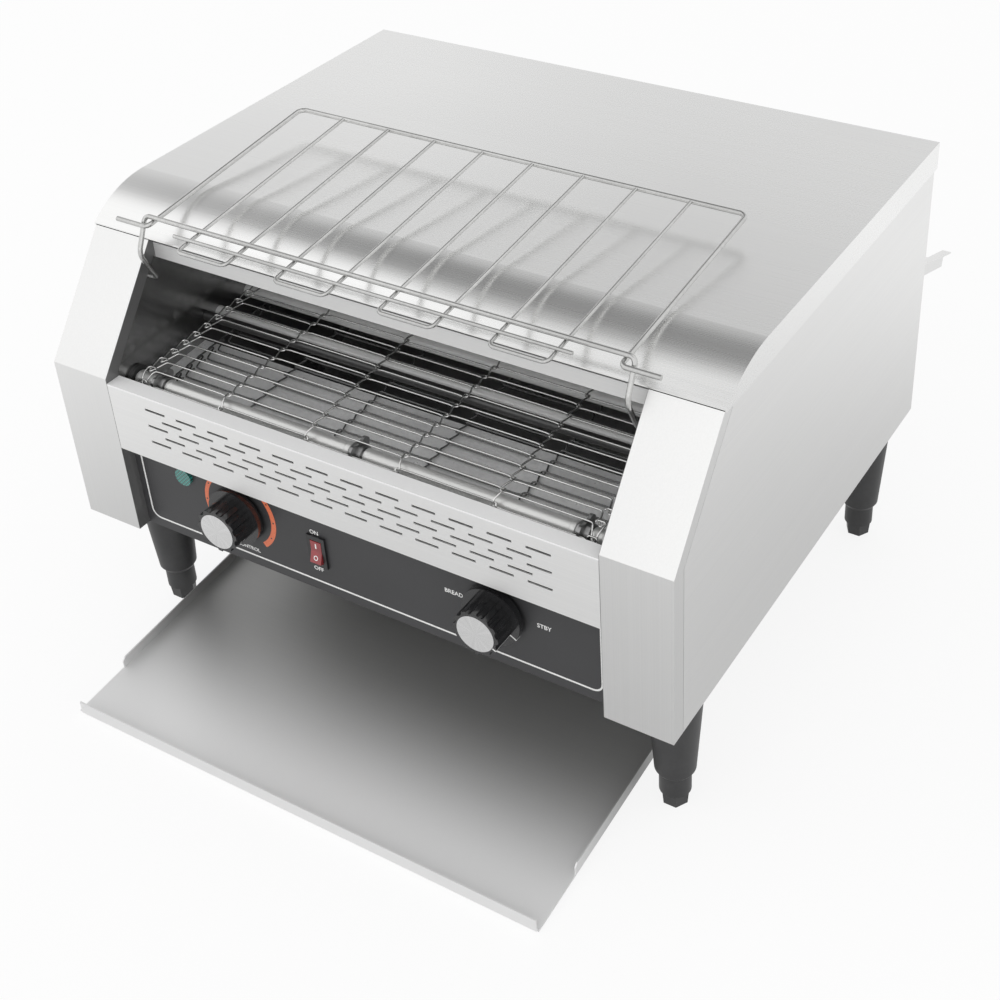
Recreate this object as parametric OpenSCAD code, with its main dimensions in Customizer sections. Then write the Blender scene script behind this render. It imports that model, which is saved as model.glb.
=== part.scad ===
// Countertop conveyor toaster with a folding loading rack and a pull-out toast tray.
// +X is to the right, -Y is the front, +Z is up; the origin is on the floor, below the middle.
// Inside the modules y runs back from the columns' front faces and z up from the base's underside.

/* [Body] */
// Width over the cover's skirts
body_w = 568; // [520:1:640]
// Depth from the columns' front faces to the back of the rear panel
body_d = 468; // [455:1:540]
// Height of the cover's flat top above the base's underside
body_h = 267; // [262:1:300]
// Thickness of the sheet metal
sheet_t = 1.2; // [0.8:0.1:1.5]
// Radius of the cover's rolled front
roll_r = 98; // [90:1:120]
// How far the cover's front edge lies behind the columns' front faces
mouth_set = 72; // [66:1:78]
// How far the cover reaches past the rear panel
cover_lap = 3; // [2:0.5:6]

/* [Columns] */
// Width of each front column
column_w = 57; // [52:1:62]
// Height of the columns' vertical front faces
knee_h = 152; // [151:1:160]
// How far the columns' top ends lie below the cover's top
column_drop = 24; // [17:1:29]
// Depth of the columns' side flanges
flange_d = 14; // [10:1:16]

/* [Fascia and panel] */
// Height of the fascia's lower edge
fascia_low = 85; // [82:1:90]
// Height of the fascia's upper edge
fascia_top = 148; // [145:1:151]
// Depth of the fascia's upper flange
fascia_flange = 14; // [8:1:16]
// Length of a vent slot
slot_l = 20.6; // [14:0.2:24]
// Height of a vent slot
slot_h = 2; // [1.4:0.1:3]
// Distance between slots in a row
slot_pitch = 32.2; // [28:0.2:40]
// Distance between rows of slots
slot_row = 7.8; // [6:0.1:9]
// Slots in a long row
slot_count = 12; // [6:1:13]
// How far the control panel is set back
panel_set = 12; // [10:1:16]

/* [Controls] */
// Height of the knobs' axes
knob_z = 51; // [46:1:54]
// Distance of the speed knob to the left of the middle
speed_x = 116; // [100:1:130]
// Distance of the selector knob to the right of the middle
selector_x = 129; // [112:1:134]
// Length of a knob from its skirt to its cap
knob_l = 25; // [18:1:28]
// Radius of a knob's grip
grip_r = 19.5; // [18.5:0.5:22]
// Radius of a knob's skirt
skirt_r = 25.5; // [23:0.5:28]
// Radius of a knob's bright cap
cap_r = 16; // [12:0.5:16.5]
// Radius of the controls' spindles
spindle_r = 3; // [2.5:0.1:3.5]
// Distance of the rocker switch to the left of the middle
switch_x = 38; // [30:1:50]
// Height of the rocker switch's middle
switch_z = 42; // [36:1:48]
// Width of the rocker switch's bezel
bezel_w = 17.5; // [16.5:0.5:22]
// Height of the rocker switch's bezel
bezel_h = 30; // [28:0.5:36]
// Distance of the lamp to the left of the middle
lamp_x = 171; // [165:1:190]
// Height of the lamp's middle
lamp_z = 68; // [60:1:72]
// Radius of the lamp's lens
lamp_r = 8; // [7:0.5:9.5]

/* [Conveyor] */
// Distance of the front shaft behind the columns' front faces
shaft_y = 32; // [31:1:36]
// Height of the front shaft
shaft_z = 136; // [134:1:138]
// Distance of the drive shaft before the rear panel's back
drive_inset = 56; // [50:1:64]
// How much higher the drive shaft lies
belt_rise = 22; // [16:1:28]
// Radius of the shafts
shaft_r = 6; // [5:0.5:7]
// Radius to the middle of the belt's thickness
belt_r = 12; // [11.5:0.25:12.5]
// Thickness of the belt
belt_t = 1.6; // [1.2:0.1:2]
// Gap between the belt and each cheek
belt_gap = 12.6; // [8:0.2:18]
// Radius over the conveyor discs' teeth
disc_r = 15; // [14.5:0.25:16]
// Thickness of a conveyor disc
disc_t = 3; // [2:0.5:4]

/* [Heaters] */
// Radius of a heater tube
tube_r = 6; // [4:0.25:6.5]
// How far the upper heater tubes lie below the cover's top
upper_drop = 43; // [39:1:47]
// Distance of the first upper tube from the columns' front faces
upper_y = 150; // [140:1:160]
// Distance between the upper tubes
upper_pitch = 60; // [40:1:66]
// Distance of the first lower tube from the columns' front faces
lower_y = 134; // [130:1:140]
// Distance between the lower tubes
lower_pitch = 38; // [30:1:44]

/* [Toast tray] */
// How far the tray reaches in front of the columns
tray_reach = 102; // [80:1:140]
// Height of the tray's front lip
lip_h = 12; // [8:1:16]
// Height of the tray's side flanges
tray_side = 10; // [6:1:14]
// Slope of the tray's front part in degrees
tray_slope = 4.5; // [2:0.5:5]
// Gap under the tray's front lip
tray_clear = 0.7; // [0.5:0.1:3]
// Depth of the opening that the toast drops through
window_d = 134; // [120:1:140]

/* [Loading rack] */
// How far the rack's pivots lie below the columns' top ends
pivot_drop = 31; // [29:1:35]
// Distance of the rack's pivots behind the columns' front faces
pivot_y = 68; // [66:1:72]
// Radius of the rack's frame wire
wire_r = 2; // [1.6:0.1:2.2]
// Radius of the rack's hairpin wires
pin_r = 1.5; // [1.2:0.1:1.8]
// Distance between the hairpin wires
wire_pitch = 47; // [40:1:47]
// Half the width of the rack's frame
rack_half = 211; // [205:1:212]
// Slope of the folded rack in degrees
rack_slope = 6; // [5:0.5:8]
// Distance from the front rail to the far rail
rack_len = 188; // [150:1:220]
// Reach of the tips that stop the rack on the columns
tip_reach = 31; // [24:1:38]

/* [Legs] */
// Height of the base's underside above the floor
leg_h = 125; // [118:1:140]
// Distance of the front legs behind the columns' front faces
leg_front = 57; // [40:1:70]
// Distance of the rear legs before the rear panel
leg_rear = 38; // [30:1:60]
// Radius of a leg at its top
leg_top_r = 22; // [18:0.5:24]
// Radius of a leg at its lower end
leg_low_r = 16.5; // [15:0.5:17.5]
// Radius of a foot's collar
collar_r = 12.8; // [11:0.2:14]
// Height of a foot below its leg
foot_h = 33; // [28:1:38]

/* [Rear guard] */
// How far the guard's rails reach behind the rear panel
guard_reach = 78; // [50:1:90]
// Height of the guard's rails at the rear panel
guard_z = 150; // [140:1:160]
// Slope of the guard in degrees
guard_slope = 18; // [10:1:24]

/* [Hidden] */
$fn = 96;

// Clearances
loose = 0.3;          // between pieces that only lie near each other
running = 0.05;       // radial clearance of a turning fit
eps = 1;              // how far a cut runs past a face

// Body
cover_in = body_w / 2 - sheet_t;            // inner face of the cover's skirts
shell_x = cover_in - 0.2;                   // outer face of the side panels and columns
col_in = shell_x - column_w;                // inner face of the columns and cheeks
cheek_out = col_in + sheet_t;               // outer face of the cheeks
panel_in = shell_x - sheet_t;               // inner face of the side panels
column_h = body_h - column_drop;            // height of the columns' top ends
edge_z = column_h + 2;                      // height of the cover's front edge
roll_z = body_h - roll_r;                   // height of the rolled front's axis
roll_run = sqrt(pow(roll_r, 2) - pow(edge_z - roll_z, 2));
roll_y = mouth_set + roll_run;              // where the flat top begins
slant = mouth_set / (column_h - knee_h);    // how far a column leans back per unit of height
slant_t = sheet_t * sqrt(1 + pow(slant, 2));
inner_top = body_h - sheet_t - loose;       // top of what stands inside the cover
rear_in = body_d - sheet_t;                 // inner face of the rear panel
steel = [0.80, 0.80, 0.79];
dark = [0.20, 0.20, 0.21];
black = [0.06, 0.06, 0.065];
bright = [0.72, 0.73, 0.74];
ceramic = [0.90, 0.88, 0.84];

// Fascia, panel and the box behind them
panel_back = panel_set + sheet_t;
panel_half = col_in - 0.2;
panel_top = fascia_low + 8;
slot_first = fascia_low + 18.6;
box_back = 116;                             // front face of the shield behind the controls
box_top = 112;                              // top of that shield
switch_hole_w = bezel_w - 4;
switch_hole_h = bezel_h - 4;
spindle_hole_r = 5.2;                       // hole in the panel for a control's bush
bush_r = 5;

// Conveyor
drive_y = body_d - drive_inset;
drive_z = shaft_z + belt_rise;
belt_len = sqrt(pow(drive_y - shaft_y, 2) + pow(belt_rise, 2));
belt_slope = atan2(belt_rise, drive_y - shaft_y);
belt_half = col_in - belt_gap;
belt_out = belt_r + belt_t / 2;
belt_in = belt_r - belt_t / 2;
root_r = belt_in - 0.7;                     // radius of a disc between its teeth
roller_r = shaft_r + 1.2;                   // radius of the rollers between the front discs
hub_r = roller_r + 1.3;                     // radius of a disc's hub
disc_room = 1;                              // gap beside a disc in the belt's slit
front_discs = [-belt_half + 16, 0, belt_half - 16];
drive_discs = [-belt_half + 13, -belt_half / 2, 0, belt_half / 2, belt_half - 13];
front_hub = disc_t + 8;                     // length of a front disc's hub
shaft_bore = shaft_r + running;
bush_out = shaft_r + 2.5;
bush_flange = shaft_r + 5;
bush_lip = 3;                               // thickness of a bush's flange
shaft_end = cheek_out + 8;
deck_set = disc_r + 1;                      // deck's front edge behind the front shaft
deck_d = 63;
deck_drop = belt_out + 1.5;                 // how far the deck lies below the shafts' line
rest_r = 4;
rest_places = [118, 292];

// Heaters
tube_half = cheek_out + 8;
upper_count = 4;
lower_count = 4;
cap_out = tube_r + 3;
upper_z = body_h - upper_drop;
reflector_z = upper_z + tube_r + 8;
upper_places = [for (i = [0:upper_count - 1]) upper_y + i * upper_pitch];
lower_places = [for (i = [0:lower_count - 1]) lower_y + i * lower_pitch];

// Drive in the right side bay
chain_x = cheek_out + 10;                   // middle plane of the chain
chain_w = 4;
link_t = 3;
big_r = 18;
small_r = 9;
motor_ahead = 110;                          // how far the motor lies before the drive shaft
motor_y = drive_y - motor_ahead;
motor_z = 72;
motor_r = 24;
output_r = 4;
motor_plate_x = chain_x + 8;
motor_plate = [2, 60, 56];
gearbox_l = 16;
can_l = 22;
post_r = 3;                                 // radius of the posts that carry the motor's plate
post_edge = 5;                              // their distance from the plate's edges
chain_dy = drive_y - motor_y;
chain_dz = drive_z - motor_z;
chain_len = sqrt(pow(chain_dy, 2) + pow(chain_dz, 2));
chain_dir = atan2(chain_dz, chain_dy);
chain_lean = asin((big_r - small_r) / chain_len);

// Fan on the base
fan_w = 80;
fan_h = 25;
fan_x = 50;
fan_bore = 37;
fan_y = panel_back + 8 + fan_w / 2;
fan_post_r = 3;
fan_post_l = 17;
fan_hub_r = 15;
fan_cap_r = fan_hub_r - 1;                  // the motor's cap over the rotor's hub
blade_mid = 24;                             // distance of a blade's middle from the axis
blade_w = 15;
terminal_inset = 90;                        // how far the terminal block lies before the rear panel

// Toast path
window_y = box_back + sheet_t + 1;
window_end = window_y + window_d;
window_half = col_in - 6;
slide_top_y = rear_in - 12;
slide_low_y = window_end - 12;
slide_low_z = 6;
slide_top_z = 112;

// Tray
tray_half = col_in + 1;
tray_floor_z = -leg_h + tray_clear + 2;
bend_y = 150;
bend_z = tray_floor_z + (bend_y + tray_reach) * tan(tray_slope);
tray_top_z = -loose;
hook_d = 120;                               // depth of the tray's rear flange on the runners
side_from = -tray_reach + 53;               // where the side flanges begin
runner_d = hook_d - 4;

// Rack, in its own line: s runs from the front rail to the rear, n is the height over it
crest_gap = 3;                              // gap between the folded rack and the cover
pivot_z = column_h - pivot_drop;
rack_z0 = body_h + wire_r + crest_gap - (roll_y - pivot_y) * tan(rack_slope);
touch = 0.02;                               // gap at a weld
pin_n = wire_r - pin_r;                     // the hairpins lie level with the frame's upper side
rail_n = 2 * wire_r + touch;
arm_x = rack_half + 8;
arm_bulge = 14;
tip_s = -8;
loop_s = -26;
cross_s = -13;
pair_count = 4;
far_bend = 7;
tip_bend = 5;
hairpin_bend = 5;
arm_bend = 5;
elbow_bend = 14;
hook_bend = 4;

// Legs
leg_x = shell_x - column_w / 2;
leg_rear_y = body_d - leg_rear;
leg_len = leg_h - foot_h;
stud_r = 5;
stud_l = 24;
hex_h = 13;
top_plate_h = 6;

// Overall place: the middle of the depth over tray and guard is at y = 0
guard_end = body_d + guard_reach;
y_mid = (guard_end - tray_reach) / 2;

module in_body() {
  translate([0, -y_mid, leg_h]) children();
}

// A (y, z) outline made into a slab from x = x0 to x = x1
module slab(x0, x1) {
  translate([x0, 0, 0]) rotate([90, 0, 90]) linear_extrude(x1 - x0) children();
}

// A rod or disc along x, centred on (y, z)
module rod_x(x0, x1, y, z, r) {
  translate([x0, y, z]) rotate([0, 90, 0]) cylinder(r = r, h = x1 - x0);
}

// A rod along y, from y0 back to y1
module rod_y(x, z, y0, y1, r) {
  translate([x, y1, z]) rotate([90, 0, 0]) cylinder(r = r, h = y1 - y0);
}

// A bent wire that starts at the origin and runs up. Each step is [straight length, turn, bend
// radius, roll]: the roll first turns the bend's plane, and a step that ends the wire has no turn.
module bent_wire(steps, r, i = 0) {
  if (i < len(steps)) {
    run = steps[i][0];
    turn = steps[i][1];
    bend = steps[i][2];
    cylinder(r = r, h = run);
    if (turn > 0) translate([0, 0, run]) rotate(steps[i][3]) translate([bend, 0, 0]) {
      rotate([90, 0, 180]) rotate_extrude(angle = turn) translate([bend, 0]) circle(r = r);
      rotate([0, turn, 0]) translate([-bend, 0, 0]) bent_wire(steps, r, i + 1);
    }
  }
}

module mirrored(side) {
  if (side < 0) mirror([1, 0, 0]) children();
  else children();
}

// A bent sheet's outline: the upper line and the same line one thickness lower
function lowered(line, t) = [for (i = [len(line) - 1:-1:0]) [line[i][0], line[i][1] - t]];
module strip(line, t) {
  polygon(concat(line, lowered(line, t)));
}

// ---- Shell ----

// Side view of the cover, shrunk by the given amount
module cover_outline(shrink, low) {
  top = body_h - shrink;
  back = body_d + cover_lap - shrink;
  translate([roll_y, low]) square([back - roll_y, top - low]);
  intersection() {
    translate([roll_y, roll_z]) circle(r = roll_r - shrink);
    translate([mouth_set, low]) square([roll_run + eps, top - low]);
  }
}

module top_cover() {
  color(steel) in_body() difference() {
    slab(-body_w / 2, body_w / 2) cover_outline(0, column_h);
    slab(-cover_in, cover_in) {
      cover_outline(sheet_t, column_h - eps);
      translate([mouth_set - eps, column_h - eps]) square([eps + 0.5, edge_z - sheet_t - column_h + eps]);
    }
  }
}

module side_panel(side) {
  front = flange_d + loose;
  color(steel) in_body() mirrored(side) slab(panel_in, shell_x) intersection() {
    union() {
      translate([roll_y, 0]) square([body_d - roll_y, inner_top]);
      translate([roll_y, roll_z]) circle(r = roll_r - sheet_t - loose);
      square([roll_y, column_h - eps]);
    }
    polygon([
      [front, 0],
      [front, knee_h],
      [front + mouth_set, column_h],
      [front + mouth_set, inner_top],
      [body_d, inner_top],
      [body_d, 0]
    ]);
  }
}

module rear_panel() {
  vent_cols = 9;
  vent_rows = 3;
  vent_l = 30;
  vent_h = 3;
  vent_pitch = 45;
  vent_low = 45;
  vent_row = 12;
  color(steel) in_body() difference() {
    translate([-panel_in, rear_in, 0]) cube([2 * panel_in, sheet_t, inner_top]);
    rod_y(-gland_x, gland_z, rear_in - eps, body_d + eps, gland_r + 0.1);
    for (i = [0:vent_cols - 1]) {
      x = (i - (vent_cols - 1) / 2) * vent_pitch - vent_l / 2;
      for (j = [0:vent_rows - 1]) {
        translate([x, rear_in - eps, vent_low + j * vent_row]) cube([vent_l, sheet_t + 2 * eps, vent_h]);
      }
    }
  }
}

module base_pan() {
  vent_r = 3.2;
  side_from_y = flange_d + 0.2;
  color(steel) in_body() difference() {
    union() {
      translate([-panel_in, side_from_y, 0]) cube([2 * panel_in, rear_in - side_from_y, sheet_t]);
      translate([-panel_half, panel_back, 0]) cube([2 * panel_half, side_from_y, sheet_t]);
    }
    translate([-window_half, window_y, -eps]) cube([2 * window_half, window_d, sheet_t + 2 * eps]);
    for (ring = [1:3]) {
      for (k = [0:ring * 6 - 1]) {
        translate([fan_x, fan_y, 0]) rotate(k * 60 / ring) translate([ring * 10, 0, -eps])
          cylinder(r = vent_r, h = sheet_t + 2 * eps);
      }
    }
  }
}

module column_outline(shift, low, high) {
  top_y = mouth_set * (high - knee_h) / (column_h - knee_h);
  polygon([
    [shift, low],
    [shift, knee_h],
    [shift + top_y, high],
    [flange_d + top_y + shift, high],
    [flange_d + shift, knee_h],
    [flange_d + shift, low]
  ]);
}

module column(side) {
  color(steel) in_body() mirrored(side) difference() {
    slab(col_in, shell_x) column_outline(0, 0, column_h);
    slab(cheek_out, panel_in) column_outline(slant_t, -eps, column_h + eps);
  }
}

module header_strip() {
  face_y = mouth_set + 4;
  low_z = upper_z + 2;
  top_z = column_h - 3.6;
  flange = 26;
  color(bright) in_body() {
    translate([-col_in, face_y, low_z]) cube([2 * col_in, sheet_t, top_z - low_z]);
    translate([-col_in, face_y, top_z - sheet_t]) cube([2 * col_in, flange, sheet_t]);
  }
}

module cheek(side) {
  front = flange_d + 0.2;
  color(dark) in_body() mirrored(side) difference() {
    slab(col_in, cheek_out) polygon([
      [front, sheet_t],
      [front, knee_h],
      [front + mouth_set, column_h],
      [rear_in, column_h],
      [rear_in, sheet_t]
    ]);
    rod_x(col_in - eps, cheek_out + eps, shaft_y, shaft_z, bush_out + running);
    rod_x(col_in - eps, cheek_out + eps, drive_y, drive_z, bush_out + running);
    rod_x(col_in - eps, cheek_out + eps, pivot_y, pivot_z, wire_r + running);
    for (y = upper_places) rod_x(col_in - eps, cheek_out + eps, y, upper_z, tube_r + loose);
    for (y = lower_places) rod_x(col_in - eps, cheek_out + eps, y, run_z(y), tube_r + loose);
    for (y = rest_places) rod_x(col_in - eps, cheek_out + eps, y, rest_z(y), rest_r - 1 + running);
  }
}

// Height of the line through both shafts, and of the rods that carry the upper run
function run_z(y) = shaft_z + (y - shaft_y) * tan(belt_slope);
function rest_z(y) = run_z(y) + belt_in / cos(belt_slope) - rest_r - loose;

module vent_fascia() {
  row_z = [for (r = [0:4]) slot_first + r * slot_row];
  color(steel) in_body() difference() {
    union() {
      translate([-panel_half, 0, fascia_low]) cube([2 * panel_half, sheet_t, fascia_top - fascia_low]);
      translate([-panel_half, 0, fascia_top - sheet_t]) cube([2 * panel_half, fascia_flange, sheet_t]);
      translate([-panel_half, 0, fascia_low]) cube([2 * panel_half, panel_set, sheet_t]);
    }
    for (r = [0:4]) {
      count = slot_count - r % 2;
      for (i = [0:count - 1]) {
        translate([(i - (count - 1) / 2) * slot_pitch - slot_l / 2, -eps, row_z[r]])
          cube([slot_l, sheet_t + 2 * eps, slot_h]);
      }
    }
  }
}

module control_panel() {
  color(dark) in_body() difference() {
    translate([-panel_half, panel_set, 0]) cube([2 * panel_half, sheet_t, panel_top]);
    rod_y(-speed_x, knob_z, panel_set - eps, panel_back + eps, spindle_hole_r);
    rod_y(selector_x, knob_z, panel_set - eps, panel_back + eps, spindle_hole_r);
    rod_y(-lamp_x, lamp_z, panel_set - eps, panel_back + eps, lamp_r - 1);
    translate([-switch_x - switch_hole_w / 2, panel_set - eps, switch_z - switch_hole_h / 2])
      cube([switch_hole_w, sheet_t + 2 * eps, switch_hole_h]);
  }
}

module box_shield() {
  front = flange_d + 2;
  color(steel) in_body() {
    translate([-col_in, box_back, sheet_t]) cube([2 * col_in, sheet_t, box_top - sheet_t]);
    translate([-col_in, front, box_top - sheet_t]) cube([2 * col_in, box_back - front + sheet_t, sheet_t]);
  }
}

module belt_deck() {
  color(bright) in_body() translate([0, shaft_y, shaft_z]) rotate([belt_slope, 0, 0])
    translate([-col_in, deck_set, -deck_drop - sheet_t]) cube([2 * col_in, deck_d, sheet_t]);
}

module upper_reflector() {
  front = mouth_set + 40;
  color(bright) in_body() translate([-col_in, front, reflector_z])
    cube([2 * col_in, rear_in - front, sheet_t]);
}

module toast_slide() {
  color(bright) in_body() slab(-col_in, col_in) strip([
    [slide_low_y, slide_low_z],
    [slide_top_y, slide_top_z],
    [rear_in, slide_top_z + 4]
  ], sheet_t);
}

module rear_guard() {
  rail_w = 8;
  web_h = 10;
  floor_d = 47;
  half = body_w / 2 - 3;
  run = guard_reach / cos(guard_slope);
  color(steel) in_body() intersection() {
    translate([0, body_d, guard_z]) rotate([-guard_slope, 0, 0]) {
      for (side = [-1, 1]) mirrored(side) {
        translate([half - rail_w, -20, -sheet_t]) cube([rail_w, 20 + run, sheet_t]);
        translate([half - sheet_t, -20, -web_h]) cube([sheet_t, 20 + run * 0.72, web_h]);
      }
      translate([-half, -20, -sheet_t - 2]) cube([2 * half, 20 + floor_d, sheet_t]);
      for (side = [-1, 1]) mirrored(side)
        translate([half - rail_w, -20, -sheet_t - 2]) cube([sheet_t, 20 + floor_d, sheet_t + 2]);
    }
    translate([-body_w / 2, body_d, 0]) cube([body_w, guard_reach, body_h]);
  }
}

// ---- Heaters ----

module upper_heaters() {
  color(bright) in_body() for (y = upper_places) rod_x(-tube_half, tube_half, y, upper_z, tube_r);
}

module lower_heaters() {
  color(bright) in_body() for (y = lower_places) rod_x(-tube_half, tube_half, y, run_z(y), tube_r);
}

module heater_cap(y, z) {
  for (side = [-1, 1]) mirrored(side) difference() {
    rod_x(cheek_out, tube_half + 3, y, z, cap_out);
    rod_x(cheek_out - eps, tube_half, y, z, tube_r + running);
  }
}

module heater_caps() {
  color(ceramic) in_body() {
    for (y = upper_places) heater_cap(y, upper_z);
    for (y = lower_places) heater_cap(y, run_z(y));
  }
}

module belt_rests() {
  color(dark) in_body() for (y = rest_places) {
    rod_x(-col_in + loose, col_in - loose, y, rest_z(y), rest_r);
    rod_x(-cheek_out, cheek_out, y, rest_z(y), rest_r - 1);
  }
}

// ---- Conveyor ----

module belt_loop(r) {
  circle(r = r);
  translate([belt_len, 0]) circle(r = r);
  translate([0, -r]) square([belt_len, 2 * r]);
}

module conveyor_belt() {
  slit = disc_t + 2 * disc_room;
  color(bright) in_body() difference() {
    translate([0, shaft_y, shaft_z]) rotate([belt_slope, 0, 0]) difference() {
      slab(-belt_half, belt_half) belt_loop(belt_out);
      slab(-belt_half - eps, belt_half + eps) belt_loop(belt_in);
    }
    for (x = front_discs) rod_x(x - slit / 2, x + slit / 2, shaft_y, shaft_z, disc_r + loose);
    for (x = drive_discs) rod_x(x - slit / 2, x + slit / 2, drive_y, drive_z, disc_r + loose);
  }
}

module front_shaft() {
  color(bright) in_body() rod_x(-shaft_end, shaft_end, shaft_y, shaft_z, shaft_r);
}

module roller(x0, x1) {
  difference() {
    rod_x(x0, x1, shaft_y, shaft_z, roller_r);
    rod_x(x0 - eps, x1 + eps, shaft_y, shaft_z, shaft_bore);
  }
}

module front_rollers() {
  gap = front_hub / 2 + 1;
  color(bright) in_body() {
    roller(-col_in + bush_lip + 1, front_discs[0] - gap);
    roller(front_discs[0] + gap, front_discs[1] - gap);
    roller(front_discs[1] + gap, front_discs[2] - gap);
    roller(front_discs[2] + gap, col_in - bush_lip - 1);
  }
}

// A disc with four round-ended teeth on a hub, bored for its shaft
module toothed_disc(x, y, z, hub_w) {
  tooth_w = 4.6;
  difference() {
    union() {
      translate([0, y, z]) slab(x - disc_t / 2, x + disc_t / 2) {
        circle(r = root_r);
        for (a = [45:90:315]) rotate(a) {
          translate([disc_r - tooth_w / 2, 0]) circle(r = tooth_w / 2);
          translate([0, -tooth_w / 2]) square([disc_r - tooth_w / 2, tooth_w]);
        }
      }
      rod_x(x - hub_w / 2, x + hub_w / 2, y, z, hub_r);
    }
    rod_x(x - hub_w, x + hub_w, y, z, shaft_bore);
  }
}

module front_sprockets() {
  color(bright) in_body() for (x = front_discs) toothed_disc(x, shaft_y, shaft_z, front_hub);
}

module drive_shaft() {
  color(bright) in_body() rod_x(-shaft_end, chain_x + 8, drive_y, drive_z, shaft_r);
}

module drive_sprockets() {
  color(bright) in_body() for (x = drive_discs) toothed_disc(x, drive_y, drive_z, 24);
}

module shaft_bush(y, z) {
  for (side = [-1, 1]) mirrored(side) difference() {
    union() {
      rod_x(col_in - 1, cheek_out + 3, y, z, bush_out);
      rod_x(col_in - bush_lip, col_in, y, z, bush_flange);
    }
    rod_x(col_in - 4, cheek_out + 4, y, z, shaft_bore);
  }
}

module shaft_bushes() {
  color(dark) in_body() {
    shaft_bush(shaft_y, shaft_z);
    shaft_bush(drive_y, drive_z);
  }
}

// ---- Drive ----

module gear_motor() {
  post_y = motor_plate[1] / 2 - post_edge;
  post_z = motor_plate[2] / 2 - post_edge;
  color([0.55, 0.56, 0.57]) in_body() difference() {
    union() {
      translate([motor_plate_x, motor_y - motor_plate[1] / 2, motor_z - motor_plate[2] / 2])
        cube(motor_plate);
      rod_x(motor_plate_x, motor_plate_x + gearbox_l, motor_y, motor_z, motor_r + 2);
      rod_x(motor_plate_x, motor_plate_x + gearbox_l + can_l - 8, motor_y, motor_z, motor_r);
      for (dy = [-post_y, post_y]) {
        for (dz = [-post_z, post_z]) {
          rod_x(cheek_out, motor_plate_x + 1, motor_y + dy, motor_z + dz, post_r);
        }
      }
    }
    rod_x(motor_plate_x - eps, motor_plate_x + gearbox_l - 4, motor_y, motor_z, output_r + running);
  }
}

// A chain wheel whose tooth gaps are cut by round notches
module chain_wheel(y, z, r, bore, teeth) {
  difference() {
    rod_x(chain_x - chain_w / 2, chain_x + chain_w / 2, y, z, r - 0.4);
    if (bore > 0) rod_x(chain_x - chain_w, chain_x + chain_w, y, z, bore);
    for (k = [0:teeth - 1]) {
      a = k * 360 / teeth;
      rod_x(chain_x - chain_w, chain_x + chain_w, y + r * cos(a), z + r * sin(a), 1.6);
    }
  }
}

module motor_sprocket() {
  color(bright) in_body() {
    chain_wheel(motor_y, motor_z, small_r, 0, 9);
    rod_x(chain_x - 5, motor_plate_x + 8, motor_y, motor_z, output_r);
  }
}

module driven_sprocket() {
  color(bright) in_body() difference() {
    union() {
      chain_wheel(drive_y, drive_z, big_r, shaft_bore, 18);
      rod_x(chain_x + chain_w / 2, chain_x + chain_w / 2 + 5, drive_y, drive_z, shaft_r + 5);
    }
    rod_x(chain_x - chain_w, chain_x + 3 * chain_w, drive_y, drive_z, shaft_bore);
  }
}

// The stretch of the chain that lies round a wheel at the origin, open to the left
module chain_arc(r, half_angle) {
  rotate(-half_angle) rotate_extrude(angle = 2 * half_angle)
    translate([r + 0.1, -chain_w / 2]) square([link_t - 0.1, chain_w]);
}

module drive_chain() {
  overlap = 0.5;
  strand_l = chain_len * cos(chain_lean) + 2 * overlap;
  color(dark) in_body() translate([chain_x, motor_y, motor_z]) rotate([90, 0, 90])
    rotate(chain_dir) {
      rotate(180) chain_arc(small_r, 90 - chain_lean);
      translate([chain_len, 0, 0]) chain_arc(big_r, 90 + chain_lean);
      for (side = [0, 1]) mirror([0, side, 0]) rotate(chain_lean)
        translate([-overlap, small_r + 0.1, -chain_w / 2]) cube([strand_l, link_t - 0.1, chain_w]);
    }
}

// ---- Electrics ----

module fan_frame() {
  color(black) in_body() translate([fan_x, fan_y, sheet_t]) {
    difference() {
      translate([-fan_w / 2, -fan_w / 2, 0]) cube([fan_w, fan_w, fan_h]);
      translate([0, 0, -eps]) cylinder(r = fan_bore, h = fan_h + 2 * eps);
    }
    for (a = [45, 135]) rotate(a) translate([-fan_bore - 3, -2, fan_h - 3]) cube([2 * fan_bore + 6, 4, 3]);
    translate([0, 0, fan_h - fan_post_l - 1]) cylinder(r = fan_post_r, h = fan_post_l);
    translate([0, 0, fan_h - 5]) cylinder(r = fan_cap_r, h = 5);
  }
}

module fan_rotor() {
  blades = 7;
  color(black) in_body() translate([fan_x, fan_y, sheet_t]) difference() {
    union() {
      translate([0, 0, 4]) cylinder(r = fan_hub_r, h = fan_h - 10);
      for (k = [0:blades - 1]) {
        rotate(k * 360 / blades) translate([blade_mid, 0, fan_h / 2 - 1]) rotate([35, 0, 0])
          cube([fan_bore * 0.56, blade_w, 1.4], center = true);
      }
    }
    translate([0, 0, fan_h - fan_post_l - 2]) cylinder(r = fan_post_r + running, h = fan_post_l + 3);
  }
}

module terminal_block() {
  block = [26, 60, 18];
  groove = 5;
  groove_pitch = 11;
  color(ceramic) in_body() translate([-panel_in + 12, rear_in - terminal_inset, sheet_t]) difference() {
    cube(block);
    for (k = [0:4]) {
      translate([-eps, groove + 1 + k * groove_pitch, block[2] - 8])
        cube([block[0] + 2 * eps, groove, 8 + eps]);
    }
  }
}

module control_case(x, depth, r) {
  difference() {
    union() {
      rod_y(x, knob_z, panel_back, panel_back + depth, r);
      rod_y(x, knob_z, panel_set - 2, panel_back + 1, bush_r);
      translate([x - 8, panel_back, knob_z - r - 8]) cube([16, 3, 10]);
    }
    rod_y(x, knob_z, panel_set - 3, panel_back + depth - 4, spindle_r + running);
  }
}

module speed_controller() {
  color([0.45, 0.35, 0.2]) in_body() control_case(-speed_x, 16, 12);
}

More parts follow.
